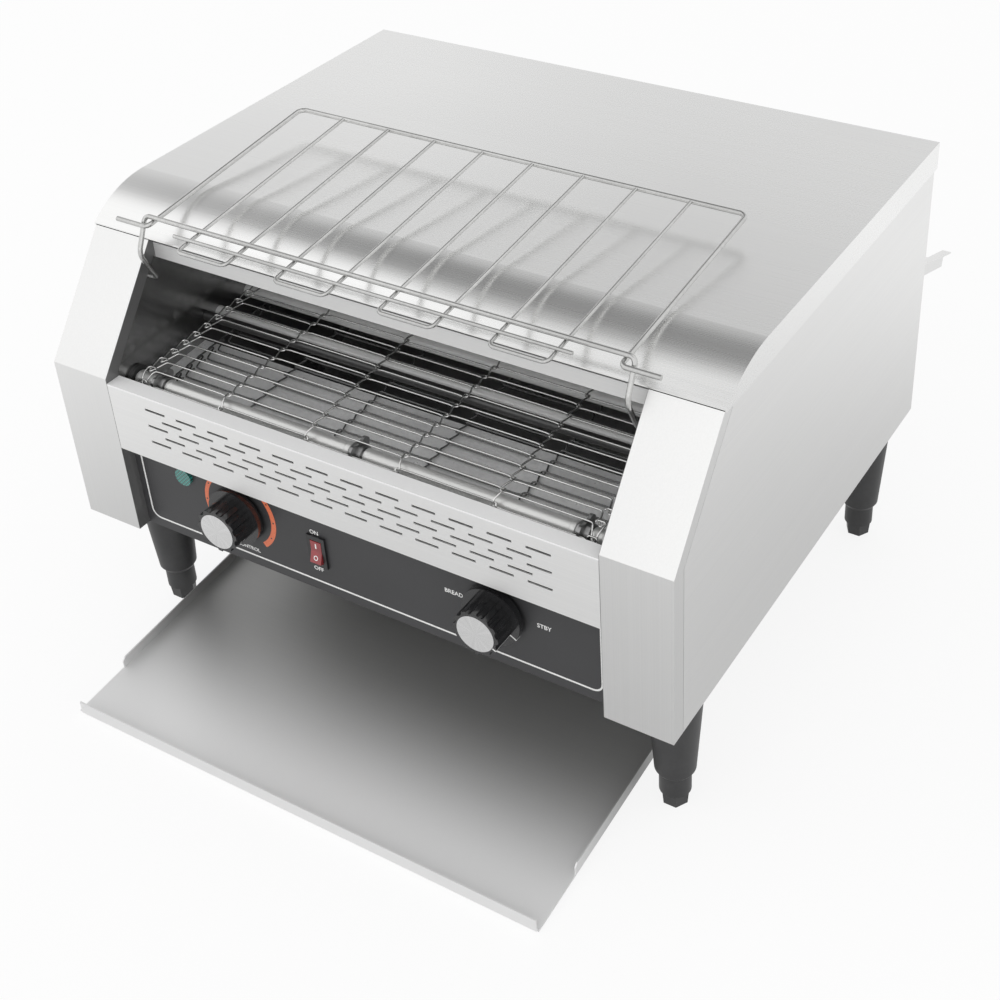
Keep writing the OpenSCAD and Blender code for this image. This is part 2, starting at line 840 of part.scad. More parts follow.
module selector_switch() {
  color([0.85, 0.8, 0.7]) in_body() control_case(selector_x, 34, 16);
}

module spindle(x, depth) {
  rod_y(x, knob_z, knob_face + 6, panel_back + depth - 5, spindle_r);
}

module speed_spindle() {
  color(bright) in_body() spindle(-speed_x, 16);
}

module selector_spindle() {
  color(bright) in_body() spindle(selector_x, 34);
}

// Rocker switch
rocker_w = bezel_w - 7;
rocker_room_h = bezel_h - 8;
rocker_axis_y = panel_set - 0.5;
rocker_r = rocker_room_h / 2 - loose;
rocker_tilt = 9;
pin_rocker_r = 1.5;

module switch_body() {
  bezel_t = 2.2;
  case_d = 24;
  room_w = rocker_w + 2 * loose;
  color(black) in_body() translate([-switch_x, 0, switch_z]) difference() {
    union() {
      translate([-bezel_w / 2, panel_set - bezel_t, -bezel_h / 2]) cube([bezel_w, bezel_t, bezel_h]);
      translate([-switch_hole_w / 2 + 0.2, panel_set, -switch_hole_h / 2 + 0.2])
        cube([switch_hole_w - 0.4, case_d, switch_hole_h - 0.4]);
    }
    translate([-room_w / 2, panel_set - bezel_t - eps, -rocker_room_h / 2])
      cube([room_w, bezel_t + eps + 14, rocker_room_h]);
    rod_x(-rocker_w / 2 - 1.6, rocker_w / 2 + 1.6, rocker_axis_y, 0, pin_rocker_r + running);
  }
}

// A bar with a shallow two-sided face, turned about its own pins
module rocker() {
  face = 3.6;
  color([0.62, 0.08, 0.08]) in_body() translate([-switch_x, rocker_axis_y, switch_z])
    rotate([-rocker_tilt, 0, 0]) {
      slab(-rocker_w / 2, rocker_w / 2) intersection() {
        circle(r = rocker_r - 0.2);
        polygon([
          [-face, -rocker_r],
          [-face + 1.6, 0],
          [-face, rocker_r],
          [3, rocker_r],
          [7, 0],
          [3, -rocker_r]
        ]);
      }
      rod_x(-rocker_w / 2 - 1.2, rocker_w / 2 + 1.2, 0, 0, pin_rocker_r);
    }
}

module indicator_lamp() {
  color([0.1, 0.5, 0.4]) in_body() {
    rod_y(-lamp_x, lamp_z, panel_set - 3, panel_set, lamp_r);
    rod_y(-lamp_x, lamp_z, panel_set - 0.5, panel_set + 22, lamp_r - 1.2);
  }
}

gland_x = shell_x - 30;
gland_z = 32;
gland_r = 8;
cord_r = 4.5;

module cable_gland() {
  color(black) in_body() difference() {
    union() {
      rod_y(-gland_x, gland_z, rear_in - 8, body_d + 12, gland_r);
      rod_y(-gland_x, gland_z, body_d, body_d + 5, gland_r + 4);
      rod_y(-gland_x, gland_z, rear_in - 5, rear_in, gland_r + 3);
    }
    rod_y(-gland_x, gland_z, rear_in - 8 - eps, body_d + 12 + eps, cord_r);
  }
}

// ---- Knobs ----

knob_gap = 1;
knob_back = panel_set - knob_gap - 2;      // rear face of a knob's skirt
skirt_t = 5.5;
knob_face = knob_back - knob_l;
cap_t = 1;
flute_count = 12;
flute_r = 3.6;
flute_depth = 2;

module knob(x) {
  flute_place = grip_r + flute_r - flute_depth;
  difference() {
    union() {
      rod_y(x, knob_z, knob_back - skirt_t, knob_back, skirt_r);
      rod_y(x, knob_z, knob_face, knob_back, grip_r);
    }
    for (k = [0:flute_count - 1]) {
      a = (k + 0.5) * 360 / flute_count;
      rod_y(x + flute_place * cos(a), knob_z + flute_place * sin(a),
        knob_face - eps, knob_back - skirt_t, flute_r);
    }
    rod_y(x, knob_z, knob_face - eps, knob_face + cap_t, cap_r + 0.1);
    rod_y(x, knob_z, knob_face + 5, knob_back + eps, spindle_r + running);
  }
}

module knob_cap(x) {
  rod_y(x, knob_z, knob_face - 0.5, knob_face + cap_t, cap_r);
}

module speed_knob() {
  color(black) in_body() knob(-speed_x);
}

module speed_knob_cap() {
  color(bright) in_body() knob_cap(-speed_x);
}

module selector_knob() {
  color(black) in_body() knob(selector_x);
}

module selector_knob_cap() {
  color(bright) in_body() knob_cap(selector_x);
}

// ---- Toast tray ----

tray_line = [
  [-tray_reach, tray_floor_z],
  [bend_y, bend_z],
  [window_end, tray_top_z],
  [window_end + hook_d, tray_top_z]
];

module toast_tray() {
  color(steel) in_body() intersection() {
    union() {
      slab(-tray_half, tray_half) strip(tray_line, sheet_t);
      translate([-tray_half + 2, -tray_reach, -leg_h + tray_clear])
        cube([2 * tray_half - 4, sheet_t, lip_h]);
      for (side = [-1, 1]) mirrored(side) slab(tray_half - sheet_t, tray_half) polygon([
        [side_from, at_tray(side_from)],
        [side_from, at_tray(side_from) + tray_side - 3],
        [side_from + 3, at_tray(side_from) + tray_side],
        [bend_y - 4, at_tray(bend_y - 4) + tray_side],
        [window_end - 8, tray_top_z],
        [window_end, tray_top_z - 0.1],
        [bend_y, bend_z - 0.1]
      ]);
    }
    translate([-tray_half - eps, -tray_reach - eps, -leg_h])
      cube([2 * (tray_half + eps), body_d + tray_reach, leg_h - loose]);
  }
}

function at_tray(y) = tray_floor_z + (y + tray_reach) * tan(tray_slope);

module tray_runners() {
  web_x = tray_half + loose;
  shelf_z = tray_top_z - sheet_t - loose;
  color(steel) in_body() for (side = [-1, 1]) mirrored(side) {
    translate([web_x, window_end + 4, shelf_z - sheet_t]) cube([sheet_t, runner_d, sheet_t - shelf_z]);
    translate([web_x - 14, window_end + 4, shelf_z - sheet_t]) cube([14 + sheet_t, runner_d, sheet_t]);
  }
}

// ---- Loading rack ----

// Places a wire drawn across x, along the rack's slope y and above it z
module on_rack() {
  in_body() translate([0, pivot_y, rack_z0]) rotate([rack_slope, 0, 0]) children();
}

// Far rail, sides and the tips that turn out in front
module rack_frame() {
  steps = [
    [rack_half - far_bend, 90, far_bend, -90],
    [rack_len - tip_s - far_bend - tip_bend, 90, tip_bend, 180],
    [tip_reach - tip_bend, 0, 0, 0]
  ];
  color(bright) on_rack() for (side = [-1, 1]) mirrored(side)
    translate([0, rack_len, 0]) rotate([0, 90, 0]) bent_wire(steps, wire_r);
}

// One hairpin: two long wires joined by a loop in front
module hairpin(x) {
  rear_s = rack_len - wire_r - touch;
  long = rear_s - loop_s - hairpin_bend;
  steps = [
    [long, 90, hairpin_bend, 0],
    [wire_pitch - 2 * hairpin_bend, 90, hairpin_bend, 0],
    [long, 0, 0, 0]
  ];
  translate([x - wire_pitch / 2, rear_s, pin_n]) rotate([90, 0, 0]) bent_wire(steps, pin_r);
}

// The hairpins and the thin rod that ties them in front
module rack_wires() {
  rod_half = (pair_count - 0.22) * wire_pitch;
  color(bright) on_rack() {
    for (i = [0:pair_count - 1]) hairpin((i - (pair_count - 1) / 2) * 2 * wire_pitch);
    rod_x(-rod_half, rod_half, cross_s, pin_n + 2 * pin_r + touch, pin_r);
  }
}

// Front rail; its ends bend down as arms and hook out into the cheeks
module rack_rail() {
  rail_y = pivot_y - rail_n * sin(rack_slope);
  rail_z = rack_z0 + rail_n * cos(rack_slope);
  elbow_y = pivot_y - arm_bulge;
  elbow_z = (pivot_z + rail_z) / 2;
  lean_up = atan2(rail_y - elbow_y, rail_z - elbow_z);
  lean_low = atan2(pivot_y - elbow_y, elbow_z - pivot_z);
  upper = norm([rail_y - elbow_y, rail_z - elbow_z]);
  lower = norm([pivot_y - elbow_y, elbow_z - pivot_z]);
  cut = elbow_bend * tan((lean_up + lean_low) / 2);
  steps = [
    [arm_x - arm_bend, 90, arm_bend, -lean_up],
    [upper - arm_bend - cut, lean_up + lean_low, elbow_bend, 90],
    [lower - cut - hook_bend, 90, hook_bend, 90],
    [cheek_out + 4 - arm_x - hook_bend, 0, 0, 0]
  ];
  color(bright) in_body() for (side = [-1, 1]) mirrored(side)
    translate([0, rail_y, rail_z]) rotate([0, 90, 0]) bent_wire(steps, wire_r);
}

// ---- Legs ----

module leg(side, y) {
  color(black) in_body() translate([side * leg_x, y, 0]) difference() {
    union() {
      translate([0, 0, -top_plate_h]) cylinder(r = leg_top_r, h = top_plate_h);
      translate([0, 0, -leg_len + 4])
        cylinder(r1 = leg_low_r, r2 = leg_top_r, h = leg_len - 4 - top_plate_h + 0.01);
      translate([0, 0, -leg_len]) cylinder(r1 = leg_low_r - 2.5, r2 = leg_low_r, h = 4.01);
    }
    translate([0, 0, -leg_len - eps]) cylinder(r = stud_r + running, h = stud_l + 4 + eps);
  }
}

module foot(side, y) {
  low = -leg_h;
  color(black) in_body() translate([side * leg_x, y, 0]) {
    translate([0, 0, -leg_len - loose]) cylinder(r = stud_r, h = stud_l);
    translate([0, 0, low + hex_h]) cylinder(r = collar_r, h = foot_h - hex_h - loose);
    translate([0, 0, low]) cylinder(r1 = collar_r - 2, r2 = collar_r - 0.8, h = hex_h, $fn = 6);
  }
}

top_cover();
side_panel(-1);  // side_panel_left
side_panel(1);  // side_panel_right
rear_panel();
base_pan();
column(-1);  // column_left
column(1);  // column_right
header_strip();
cheek(-1);  // cheek_left
cheek(1);  // cheek_right
vent_fascia();
control_panel();
box_shield();
belt_deck();
upper_reflector();
toast_slide();
rear_guard();
upper_heaters();
lower_heaters();
heater_caps();
belt_rests();
conveyor_belt();
front_shaft();
front_rollers();
front_sprockets();
drive_shaft();
drive_sprockets();
shaft_bushes();
gear_motor();
motor_sprocket();
driven_sprocket();
drive_chain();
fan_frame();
fan_rotor();
terminal_block();
speed_controller();
selector_switch();
switch_body();
rocker();
indicator_lamp();
cable_gland();
speed_knob();
speed_knob_cap();
speed_spindle();
selector_knob();
selector_knob_cap();
selector_spindle();
toast_tray();
tray_runners();
rack_frame();
rack_wires();
rack_rail();
leg(-1, leg_front);  // leg_front_left
leg(1, leg_front);  // leg_front_right
leg(-1, leg_rear_y);  // leg_rear_left
leg(1, leg_rear_y);  // leg_rear_right
foot(-1, leg_front);  // foot_front_left
foot(1, leg_front);  // foot_front_right
foot(-1, leg_rear_y);  // foot_rear_left
foot(1, leg_rear_y);  // foot_rear_right
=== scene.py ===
"""Surfaces, finishes and studio for a countertop conveyor toaster, laid out as a Blender add-on."""

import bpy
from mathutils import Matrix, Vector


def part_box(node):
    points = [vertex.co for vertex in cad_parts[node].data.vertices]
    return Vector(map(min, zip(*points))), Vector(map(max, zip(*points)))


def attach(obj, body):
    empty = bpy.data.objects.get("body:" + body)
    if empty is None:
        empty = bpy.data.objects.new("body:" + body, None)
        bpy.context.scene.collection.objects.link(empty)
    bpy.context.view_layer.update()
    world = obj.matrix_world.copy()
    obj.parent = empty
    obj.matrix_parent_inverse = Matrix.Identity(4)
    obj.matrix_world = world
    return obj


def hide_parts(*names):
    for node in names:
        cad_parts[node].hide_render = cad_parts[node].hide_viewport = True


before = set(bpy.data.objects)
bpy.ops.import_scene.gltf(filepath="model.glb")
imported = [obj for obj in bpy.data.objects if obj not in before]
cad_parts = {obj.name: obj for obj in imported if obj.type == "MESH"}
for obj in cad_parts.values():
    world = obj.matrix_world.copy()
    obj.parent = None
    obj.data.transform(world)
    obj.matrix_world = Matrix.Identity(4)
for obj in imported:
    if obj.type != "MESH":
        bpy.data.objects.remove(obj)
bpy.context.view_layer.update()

import math

import bmesh
import bpy
import numpy as np
from bpy.props import FloatProperty, FloatVectorProperty, IntProperty, PointerProperty
from mathutils import Matrix

bl_info = {
    "name": "Conveyor toaster",
    "version": (1, 0, 0),
    "blender": (4, 5, 0),
    "location": "3D View > Sidebar > Toaster",
    "description": "Builds the wire belt, sprockets, printing and finishes of a conveyor toaster",
    "category": "Add Mesh",
}

MM = 0.001

MERGE = 2e-6             # points nearer than this, in metres, become one
SLIVER = 1e-6            # lengths under this, in metres, count as none
CLEAR = 0.1 * MM         # gap between a shaft and what is threaded on it
WHEEL_INSET = 16 * MM    # how far the outer front sprockets stand in from the belt's sides
PRINT_OUT = 0.12 * MM    # how far printing stands out of the panel


# ---- Places read from the frame ----

def middle(node):
    """The middle of a node's box, as an array."""
    low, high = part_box(node)
    return (np.array(low) + np.array(high)) / 2


def span(node):
    """A node's size along x, y and z."""
    low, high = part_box(node)
    return np.array(high) - np.array(low)


FRONT_AXIS = middle("front_shaft")[1:]
DRIVE_AXIS = middle("drive_shaft")[1:]
SHAFT_R = float(span("front_shaft")[1] / 2)
BELT_HALF = float(span("conveyor_belt")[0] / 2)
PANEL_Y = float(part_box("control_panel")[0][1])
PANEL_Z0 = float(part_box("control_panel")[0][2])
SPEED = middle("speed_knob_cap")
SELECTOR = middle("selector_knob_cap")
SWITCH = middle("switch_body")


# ---- Sizes and colours that a user would change ----

def length(name, text, value, low=0.0, high=1.0):
    """A length in metres with its name, what it is for and its range."""
    return FloatProperty(name=name, description=text, default=value, min=low, max=high,
                         unit="LENGTH", precision=5)


def colour(name, text, value):
    """A colour, written as the shader reads it."""
    return FloatVectorProperty(name=name, description=text, default=value, size=3,
                               min=0.0, max=1.0, subtype="COLOR")


class BeltSizes(bpy.types.PropertyGroup):
    """Sizes of the wire belt and of the wheels that drive it."""
    rows: IntProperty(name="Strands", description="Strands in the whole loop", default=62,
                      min=20, max=90)
    wire: length("Wire", "Thickness of a strand", 1.5 * MM, 0.5 * MM, 3 * MM)
    radius: length("Bend radius", "Radius of the belt's middle line round a shaft", 12 * MM)
    phase: length("Phase", "Where the first strand lies on the loop", 1.0 * MM, -1.0)
    lean: length("Lean", "How far a leg leans at a link", 1.8 * MM)
    over: length("Overlap", "How far two strands reach past each other at a link", 1.6 * MM)
    bend: length("Corner", "Radius of the strands' corners", 2.6 * MM)
    tooth: length("Tooth", "Width of a sprocket's tooth", 8.5 * MM)
    hub: length("Hub", "Radius of a sprocket's hub", 8.5 * MM)
    roller_r: length("Roller", "Radius of the rollers on the front shaft", 7.2 * MM)


class PrintSizes(bpy.types.PropertyGroup):
    """Printing on the control panel."""
    line: length("Line", "Width of the frame line", 1.6 * MM)
    side: length("Side", "Distance of the frame line from the middle", 219 * MM)
    low: length("Low edge", "Height of the frame line over the panel's lower edge", 8.8 * MM)
    corner: length("Corner", "Radius of the frame line's corners", 9 * MM)
    ring_r: length("Ring", "Middle radius of the dial ring", 34.3 * MM)
    ring_z: length("Ring height", "Height of the ring's middle over the panel's lower edge",
                   52.5 * MM)
    ring_w: length("Ring width", "Width of the dial ring", 5.0 * MM)
    letter: length("Letters", "Size of the letters", 7.6 * MM)
    pointer: length("Pointer", "Width of the white line on the selector knob", 1.2 * MM)
    ink: colour("Ink", "Colour of lines and letters", (0.86, 0.86, 0.85))
    ring: colour("Ring colour", "Colour of the dial ring", (0.76, 0.19, 0.09))


class Finishes(bpy.types.PropertyGroup):
    """Colours of the finishes."""
    shell: colour("Shell", "Brushed steel of the shell", (0.80, 0.80, 0.795))
    inner: colour("Inside", "Steel inside the mouth", (0.42, 0.42, 0.42))
    cheek: colour("Cheeks", "Browned steel of the mouth's side walls", (0.36, 0.36, 0.36))
    deck: colour("Deck", "Plate under the belt", (0.86, 0.86, 0.86))
    panel: colour("Panel", "Painted control panel", (0.037, 0.037, 0.039))
    wire: colour("Wires", "Plated wire", (0.78, 0.78, 0.77))
    quartz: colour("Quartz", "Milky quartz of the heaters", (0.92, 0.92, 0.91))
    black: colour("Black", "Moulded black plastic", (0.012, 0.012, 0.013))
    red: colour("Rocker", "Clear red plastic of the rocker", (0.26, 0.02, 0.025))
    green: colour("Lamp", "Green lens of the lamp", (0.008, 0.11, 0.095))


class StageSizes(bpy.types.PropertyGroup):
    """Camera, light and floor."""
    azimuth: FloatProperty(name="Azimuth", description="The camera's bearing", subtype="ANGLE",
                           default=math.radians(31.53))
    elevation: FloatProperty(name="Elevation", description="The camera's height angle",
                             subtype="ANGLE", default=math.radians(32.89))
    roll: FloatProperty(name="Roll", description="The camera's roll", subtype="ANGLE",
                        default=math.radians(-2.14))
    place: FloatVectorProperty(name="Place", description="Where the camera stands",
                               default=(0.652, -0.931, 0.976), size=3, unit="LENGTH")
    lens: FloatProperty(name="Lens", description="Focal length in millimetres",
                        default=57.7, min=20, max=200)
    shift: FloatVectorProperty(name="Shift", description="Lens shift", default=(-0.08, -0.15),
                               size=2)
    floor: colour("Floor", "Colour of the floor", (0.93, 0.93, 0.93))
    key: FloatProperty(name="Key light", description="Power of the main light", default=18.0)
    fill: FloatProperty(name="Fill light", description="Power of the fill light", default=9.0)
    sky: FloatProperty(name="Room light", description="Strength of the room's soft light",
                       default=0.85)


# ---- Surfaces worked out with numpy ----

def grid_faces(rows, cols, wrap_rows=False, wrap_cols=False):
    """Quads of a rows x cols grid of points; a wrapped side joins its last line to its first."""
    r = np.arange(rows if wrap_rows else rows - 1)
    c = np.arange(cols if wrap_cols else cols - 1)
    a, b = np.meshgrid(r, c, indexing="ij")
    a2, b2 = (a + 1) % rows, (b + 1) % cols
    quads = np.stack([a * cols + b, a2 * cols + b, a2 * cols + b2, a * cols + b2], -1)
    return quads.reshape(-1, 4)


def put_mesh(name, parts, smooth_angle=35.0):
    """One object from a list of (points, quads): doubles are merged, so poles and seams close, and
    the faces are turned outwards."""
    verts, faces, offset = [], [], 0
    for points, quads in parts:
        points = np.asarray(points, float).reshape(-1, 3)
        verts.append(points)
        faces.append(np.asarray(quads) + offset)
        offset += len(points)
    verts, faces = np.concatenate(verts), np.concatenate(faces)
    mesh = bpy.data.meshes.new(name)
    mesh.vertices.add(len(verts))
    mesh.vertices.foreach_set("co", verts.astype(np.float32).ravel())
    mesh.loops.add(faces.size)
    mesh.loops.foreach_set("vertex_index", faces.astype(np.int32).ravel())
    mesh.polygons.add(len(faces))
    mesh.polygons.foreach_set("loop_start", np.arange(len(faces), dtype=np.int32) * 4)
    mesh.update(calc_edges=True)
    tidy = bmesh.new()
    tidy.from_mesh(mesh)
    bmesh.ops.remove_doubles(tidy, verts=tidy.verts, dist=MERGE)
    bmesh.ops.dissolve_degenerate(tidy, edges=tidy.edges, dist=SLIVER)
    bmesh.ops.recalc_face_normals(tidy, faces=tidy.faces)
    for face in tidy.faces:
        face.smooth = True
    for edge in tidy.edges:
        if len(edge.link_faces) == 2 and edge.calc_face_angle(0.0) > math.radians(smooth_angle):
            edge.smooth = False
    tidy.to_mesh(mesh)
    tidy.free()
    piece = bpy.data.objects.new(name, mesh)
    bpy.context.scene.collection.objects.link(piece)
    return piece


def rounded(points, radius, steps=3):
    """A line through corner points whose corners are parabolas: between the points at the given
    distance before and after a corner, P(t) = (1-t)^2 A + 2t(1-t) C + t^2 B."""
    points = np.asarray(points, float)
    back, ahead = points[:-2] - points[1:-1], points[2:] - points[1:-1]
    length_back = np.linalg.norm(back, axis=1, keepdims=True)
    length_ahead = np.linalg.norm(ahead, axis=1, keepdims=True)
    # two corners that share a short line never take more than nine tenths of it
    reach = np.minimum(radius, 0.45 * np.minimum(length_back, length_ahead))
    c = points[1:-1]
    a, b = c + back / length_back * reach, c + ahead / length_ahead * reach
    t = np.linspace(0, 1, steps)[None, :, None]
    curve = (1 - t) ** 2 * a[:, None] + 2 * t * (1 - t) * c[:, None] + t ** 2 * b[:, None]
    return np.concatenate([points[:1], curve.reshape(-1, 3), points[-1:]])


def tube(line, radius, sides=8, up=(0, 0, 1), ends=3):
    """A round wire along a line: the ring at each point is r (cos a * side + sin a * top), where
    side is square to the line and to up. Domed ends shrink the ring by the cosine of their
    angle."""
    line, up = np.asarray(line, float), np.asarray(up, float)
    tangent = np.gradient(line, axis=0)
    tangent /= np.linalg.norm(tangent, axis=1, keepdims=True)
    dome = np.radians(np.linspace(90, 0, ends + 1))[:-1]
    first = line[:1] - tangent[:1] * radius * np.sin(dome)[:, None]
    last = line[-1:] + tangent[-1:] * radius * np.sin(dome[::-1])[:, None]
    scale = np.concatenate([np.cos(dome), np.ones(len(line)), np.cos(dome[::-1])])
    line = np.concatenate([first, line, last])
    tangent = np.concatenate([np.repeat(tangent[:1], ends, 0), tangent,
                              np.repeat(tangent[-1:], ends, 0)])
    side = np.cross(tangent, up)
    side /= np.linalg.norm(side, axis=1, keepdims=True)
    top = np.cross(side, tangent)
    a = np.linspace(0, 2 * np.pi, sides, endpoint=False)
    ring = np.cos(a)[None, :, None] * side[:, None] + np.sin(a)[None, :, None] * top[:, None]
    points = line[:, None] + radius * scale[:, None, None] * ring
    return points, grid_faces(len(line), sides, wrap_cols=True)


def turned(profile, origin, axis, sides=64):
    """A closed turned surface about a level axis: each profile point (along, radius) makes the ring
    origin + along * axis + radius (cos a * u + sin a * v)."""
    profile, origin, axis = (np.asarray(v, float) for v in (profile, origin, axis))
    u = np.cross(axis, (0.0, 0.0, 1.0))
    u /= np.linalg.norm(u)
    v = np.cross(axis, u)
    a = np.linspace(0, 2 * np.pi, sides, endpoint=False)
    ring = np.cos(a)[None, :, None] * u + np.sin(a)[None, :, None] * v
    along, radius = profile.T[:, :, None, None]
    return origin + along * axis + radius * ring, grid_faces(len(profile), sides, True, True)


def edge_round(profile, radius, steps=3):
    """A profile of (along, radius) points with its corners rounded."""
    flat = np.column_stack([np.asarray(profile, float), np.zeros(len(profile))])
    return rounded(flat, radius, steps)[:, :2]


def flat_band(outer, inner, y, thick):
    """A thin band between two closed outlines of (x, z) points, standing out of the plane y by its
    thickness: four lines of points, wrapped both ways."""
    outer, inner = np.asarray(outer, float), np.asarray(inner, float)
    front, back = np.full(len(outer), y - thick), np.full(len(outer), y)
    lines = [(outer, back), (outer, front), (inner, front), (inner, back)]
    points = np.stack([np.column_stack([o[:, 0], d, o[:, 1]]) for o, d in lines])
    return points, grid_faces(4, len(outer), wrap_rows=True, wrap_cols=True)


def box_round(half_x, half_z, corner, count=7):
    """The outline of a rounded rectangle about the origin, as (x, z) points."""
    a = np.radians(np.linspace(0, 90, count))
    arc = np.column_stack([np.cos(a), np.sin(a)]) * corner
    middles = np.array([[1, 1], [-1, 1], [-1, -1], [1, -1]]) * (half_x - corner, half_z - corner)
    turns = [np.array([[c, s], [-s, c]]) for c, s in ((1, 0), (0, 1), (-1, 0), (0, -1))]
    return np.concatenate([m + arc @ t for m, t in zip(middles, turns)])


# ---- Shader maths ----

class Value:
    """A number that varies over a surface; arithmetic on it adds Math nodes."""

    def __init__(self, finish, socket):
        self.finish, self.socket = finish, socket

    def _math(self, operation, *values, clamp=False):
        """One Math node on the values, which are numbers or Values."""
        return self.finish.node("ShaderNodeMath", {"operation": operation, "use_clamp": clamp},
                                dict(enumerate(values)))

    def __add__(self, other): return self._math("ADD", self, other)
    def __radd__(self, other): return self._math("ADD", other, self)
    def __sub__(self, other): return self._math("SUBTRACT", self, other)
    def __rsub__(self, other): return self._math("SUBTRACT", other, self)
    def __mul__(self, other): return self._math("MULTIPLY", self, other)
    def __rmul__(self, other): return self._math("MULTIPLY", other, self)
    def __pow__(self, other): return self._math("POWER", self, other)

    def clamped(self):
        """The value held between 0 and 1."""
        return self._math("ADD", self, 0.0, clamp=True)

    def step(self, low, high):
        """0 below low, 1 above high, and a smooth ramp between them."""
        return self.finish.node("ShaderNodeMapRange", {"interpolation_type": "SMOOTHSTEP"},
                                {"Value": self, "From Min": low, "From Max": high})


class Finish:
    """A material or world, and the few ways that its nodes are made."""

    def __init__(self, name, owner=None):
        self.owner = owner or bpy.data.materials.new(name)
        self.owner.use_nodes = True
        self.tree = self.owner.node_tree
        self.tree.nodes.clear()

    def node(self, kind, settings=None, sockets=None, out=0):
        """Adds a node of that type: its settings first, then the values or links of its sockets."""
        n = self.tree.nodes.new(kind)
        for key, value in (settings or {}).items():
            setattr(n, key, value)
        for key, value in (sockets or {}).items():
            target = n.inputs[key]
            if isinstance(value, Value):
                self.tree.links.new(value.socket, target)
            elif target.type == "RGBA" and len(value) == 3:
                target.default_value = (*value, 1)
            else:
                target.default_value = value
        return Value(self, n.outputs[out]) if n.outputs else None

    def place(self, scale=(1, 1, 1), shift=(0, 0, 0), turn=(0, 0, 0)):
        """Object coordinates, stretched and moved."""
        where = self.node("ShaderNodeTexCoord", out="Object")
        return self.node("ShaderNodeMapping", {}, {"Vector": where, "Scale": scale,
                                                   "Location": shift, "Rotation": turn})

    def noise(self, vector, detail=2.0, rough=0.5):
        """Soft noise with one bump for each unit of the vector."""
        return self.node("ShaderNodeTexNoise", {}, {"Vector": vector, "Scale": 1.0,
                                                    "Detail": detail, "Roughness": rough})

    def axes(self, vector):
        """x, y and z of a vector as three values."""
        first = self.node("ShaderNodeSeparateXYZ", {}, {0: vector})
        outs = first.socket.node.outputs
        return [Value(self, outs[i]) for i in range(3)]

    def blend(self, share, a, b):
        """Colour a where share is 0, b where it is 1."""
        return self.node("ShaderNodeMix", {"data_type": "RGBA"}, {0: share, 6: a, 7: b}, out=2)

    def bump(self, height, strength, distance):
        """The normal that a height gives; distance is the relief in metres."""
        return self.node("ShaderNodeBump", {}, {"Height": height, "Strength": strength,
                                                "Distance": distance})

    def mix(self, share, a, b):
        """Shader a where share is 0, b where it is 1."""
        return self.node("ShaderNodeMixShader", {}, {0: share, 1: a, 2: b})

    def rays(self, *kinds):
        """Whether a ray is of each of these kinds, as Light Path names them."""
        outs = self.node("ShaderNodeLightPath").socket.node.outputs
        return [Value(self, outs[kind]) for kind in kinds]

    def surface(self, **sockets):
        """The shader itself; underscores in names stand for spaces."""
        named = {k.replace("_", " "): v for k, v in sockets.items()}
        shader = self.node("ShaderNodeBsdfPrincipled", {}, named)
        self.node("ShaderNodeOutputMaterial", {}, {0: shader})
        return self.owner


def shade(colour_value, factor):
    """A colour made lighter or darker."""
    return tuple(min(1.0, c * factor) for c in colour_value)


def brushed(name, base, grain, rough, depth=1.0, metal=1.0, mask=None):
    """Brushed sheet: noise drawn out along the grain's axis gives hair lines in colour, gloss and
    bump, and a slow noise gives the soft clouds of a rolled sheet. The mask, if any, works out
    where a second colour and a second metallic value take over."""
    f = Finish(name)
    lines, drawn = 900, 1.2     # bumps in a metre across the grain and along it
    spread, soil = 0.05, 0.03   # how much the lines and the clouds change the gloss
    along = tuple(drawn if axis == grain else lines for axis in "xyz")
    hair = f.noise(f.place(scale=along), detail=3.0, rough=0.65)
    fine = f.noise(f.place(scale=tuple(3.1 * a for a in along), shift=(3, 5, 7)), detail=1.0)
    cloud = f.noise(f.place(scale=(3.4,) * 3))
    height = hair * 0.6 + fine * 0.4
    tone = f.blend(height.step(0.25, 0.75), shade(base, 0.97), shade(base, 1.02))
    tone = f.blend(cloud.step(0.3, 0.75) * (4.0 * soil), tone, shade(base, 0.9))
    gloss = (hair - 0.5) * spread + (cloud - 0.5) * (1.6 * soil) + rough
    tone, metal = masked(f, mask, tone, metal)
    return f.surface(Base_Color=tone, Metallic=metal, Roughness=gloss.clamped(),
                     Normal=f.bump(height, 0.14 * depth, 0.06 * MM))


def masked(f, mask, tone, metal):
    """The tone and the metallic value with a mask's own over them, where there is a mask. A mask
    gives the share that it takes, its colour and its metallic value."""
    if not mask:
        return tone, metal
    share, other, other_metal = mask(f)
    return f.blend(share, tone, other), share * (other_metal - metal) + metal


def shaded_inner_edge(f):
    """Painted shade on the columns' inner faces, which look into the dark mouth: up to the deck's
    half width.
    """
    x, _, _ = f.axes(f.place())
    face = float(span("belt_deck")[0] / 2)
    share = 1.0 - ((x * x) ** 0.5).step(face + 0.1 * MM, face + 0.4 * MM)
    return share, (0.20,) * 3, 0.5


def top_flange(f):
    """The level flange along the fascia's upper edge."""
    _, _, z = f.axes(f.place())
    top = float(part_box("vent_fascia")[1][2])
    return z.step(top - 1.4 * MM, top - 1.0 * MM), (0.88,) * 3, 0.05


def tray_light_and_shade(f):
    """Painted light and shade on the tray: its outer part is painted paler than the painted shade
    under the machine. The paler part is whole at its front edge and fades out towards the legs."""
    _, y, _ = f.axes(f.place())
    whole, none = -0.30, -0.16
    return 1.0 - y.step(whole, none), (0.84,) * 3, 0.35


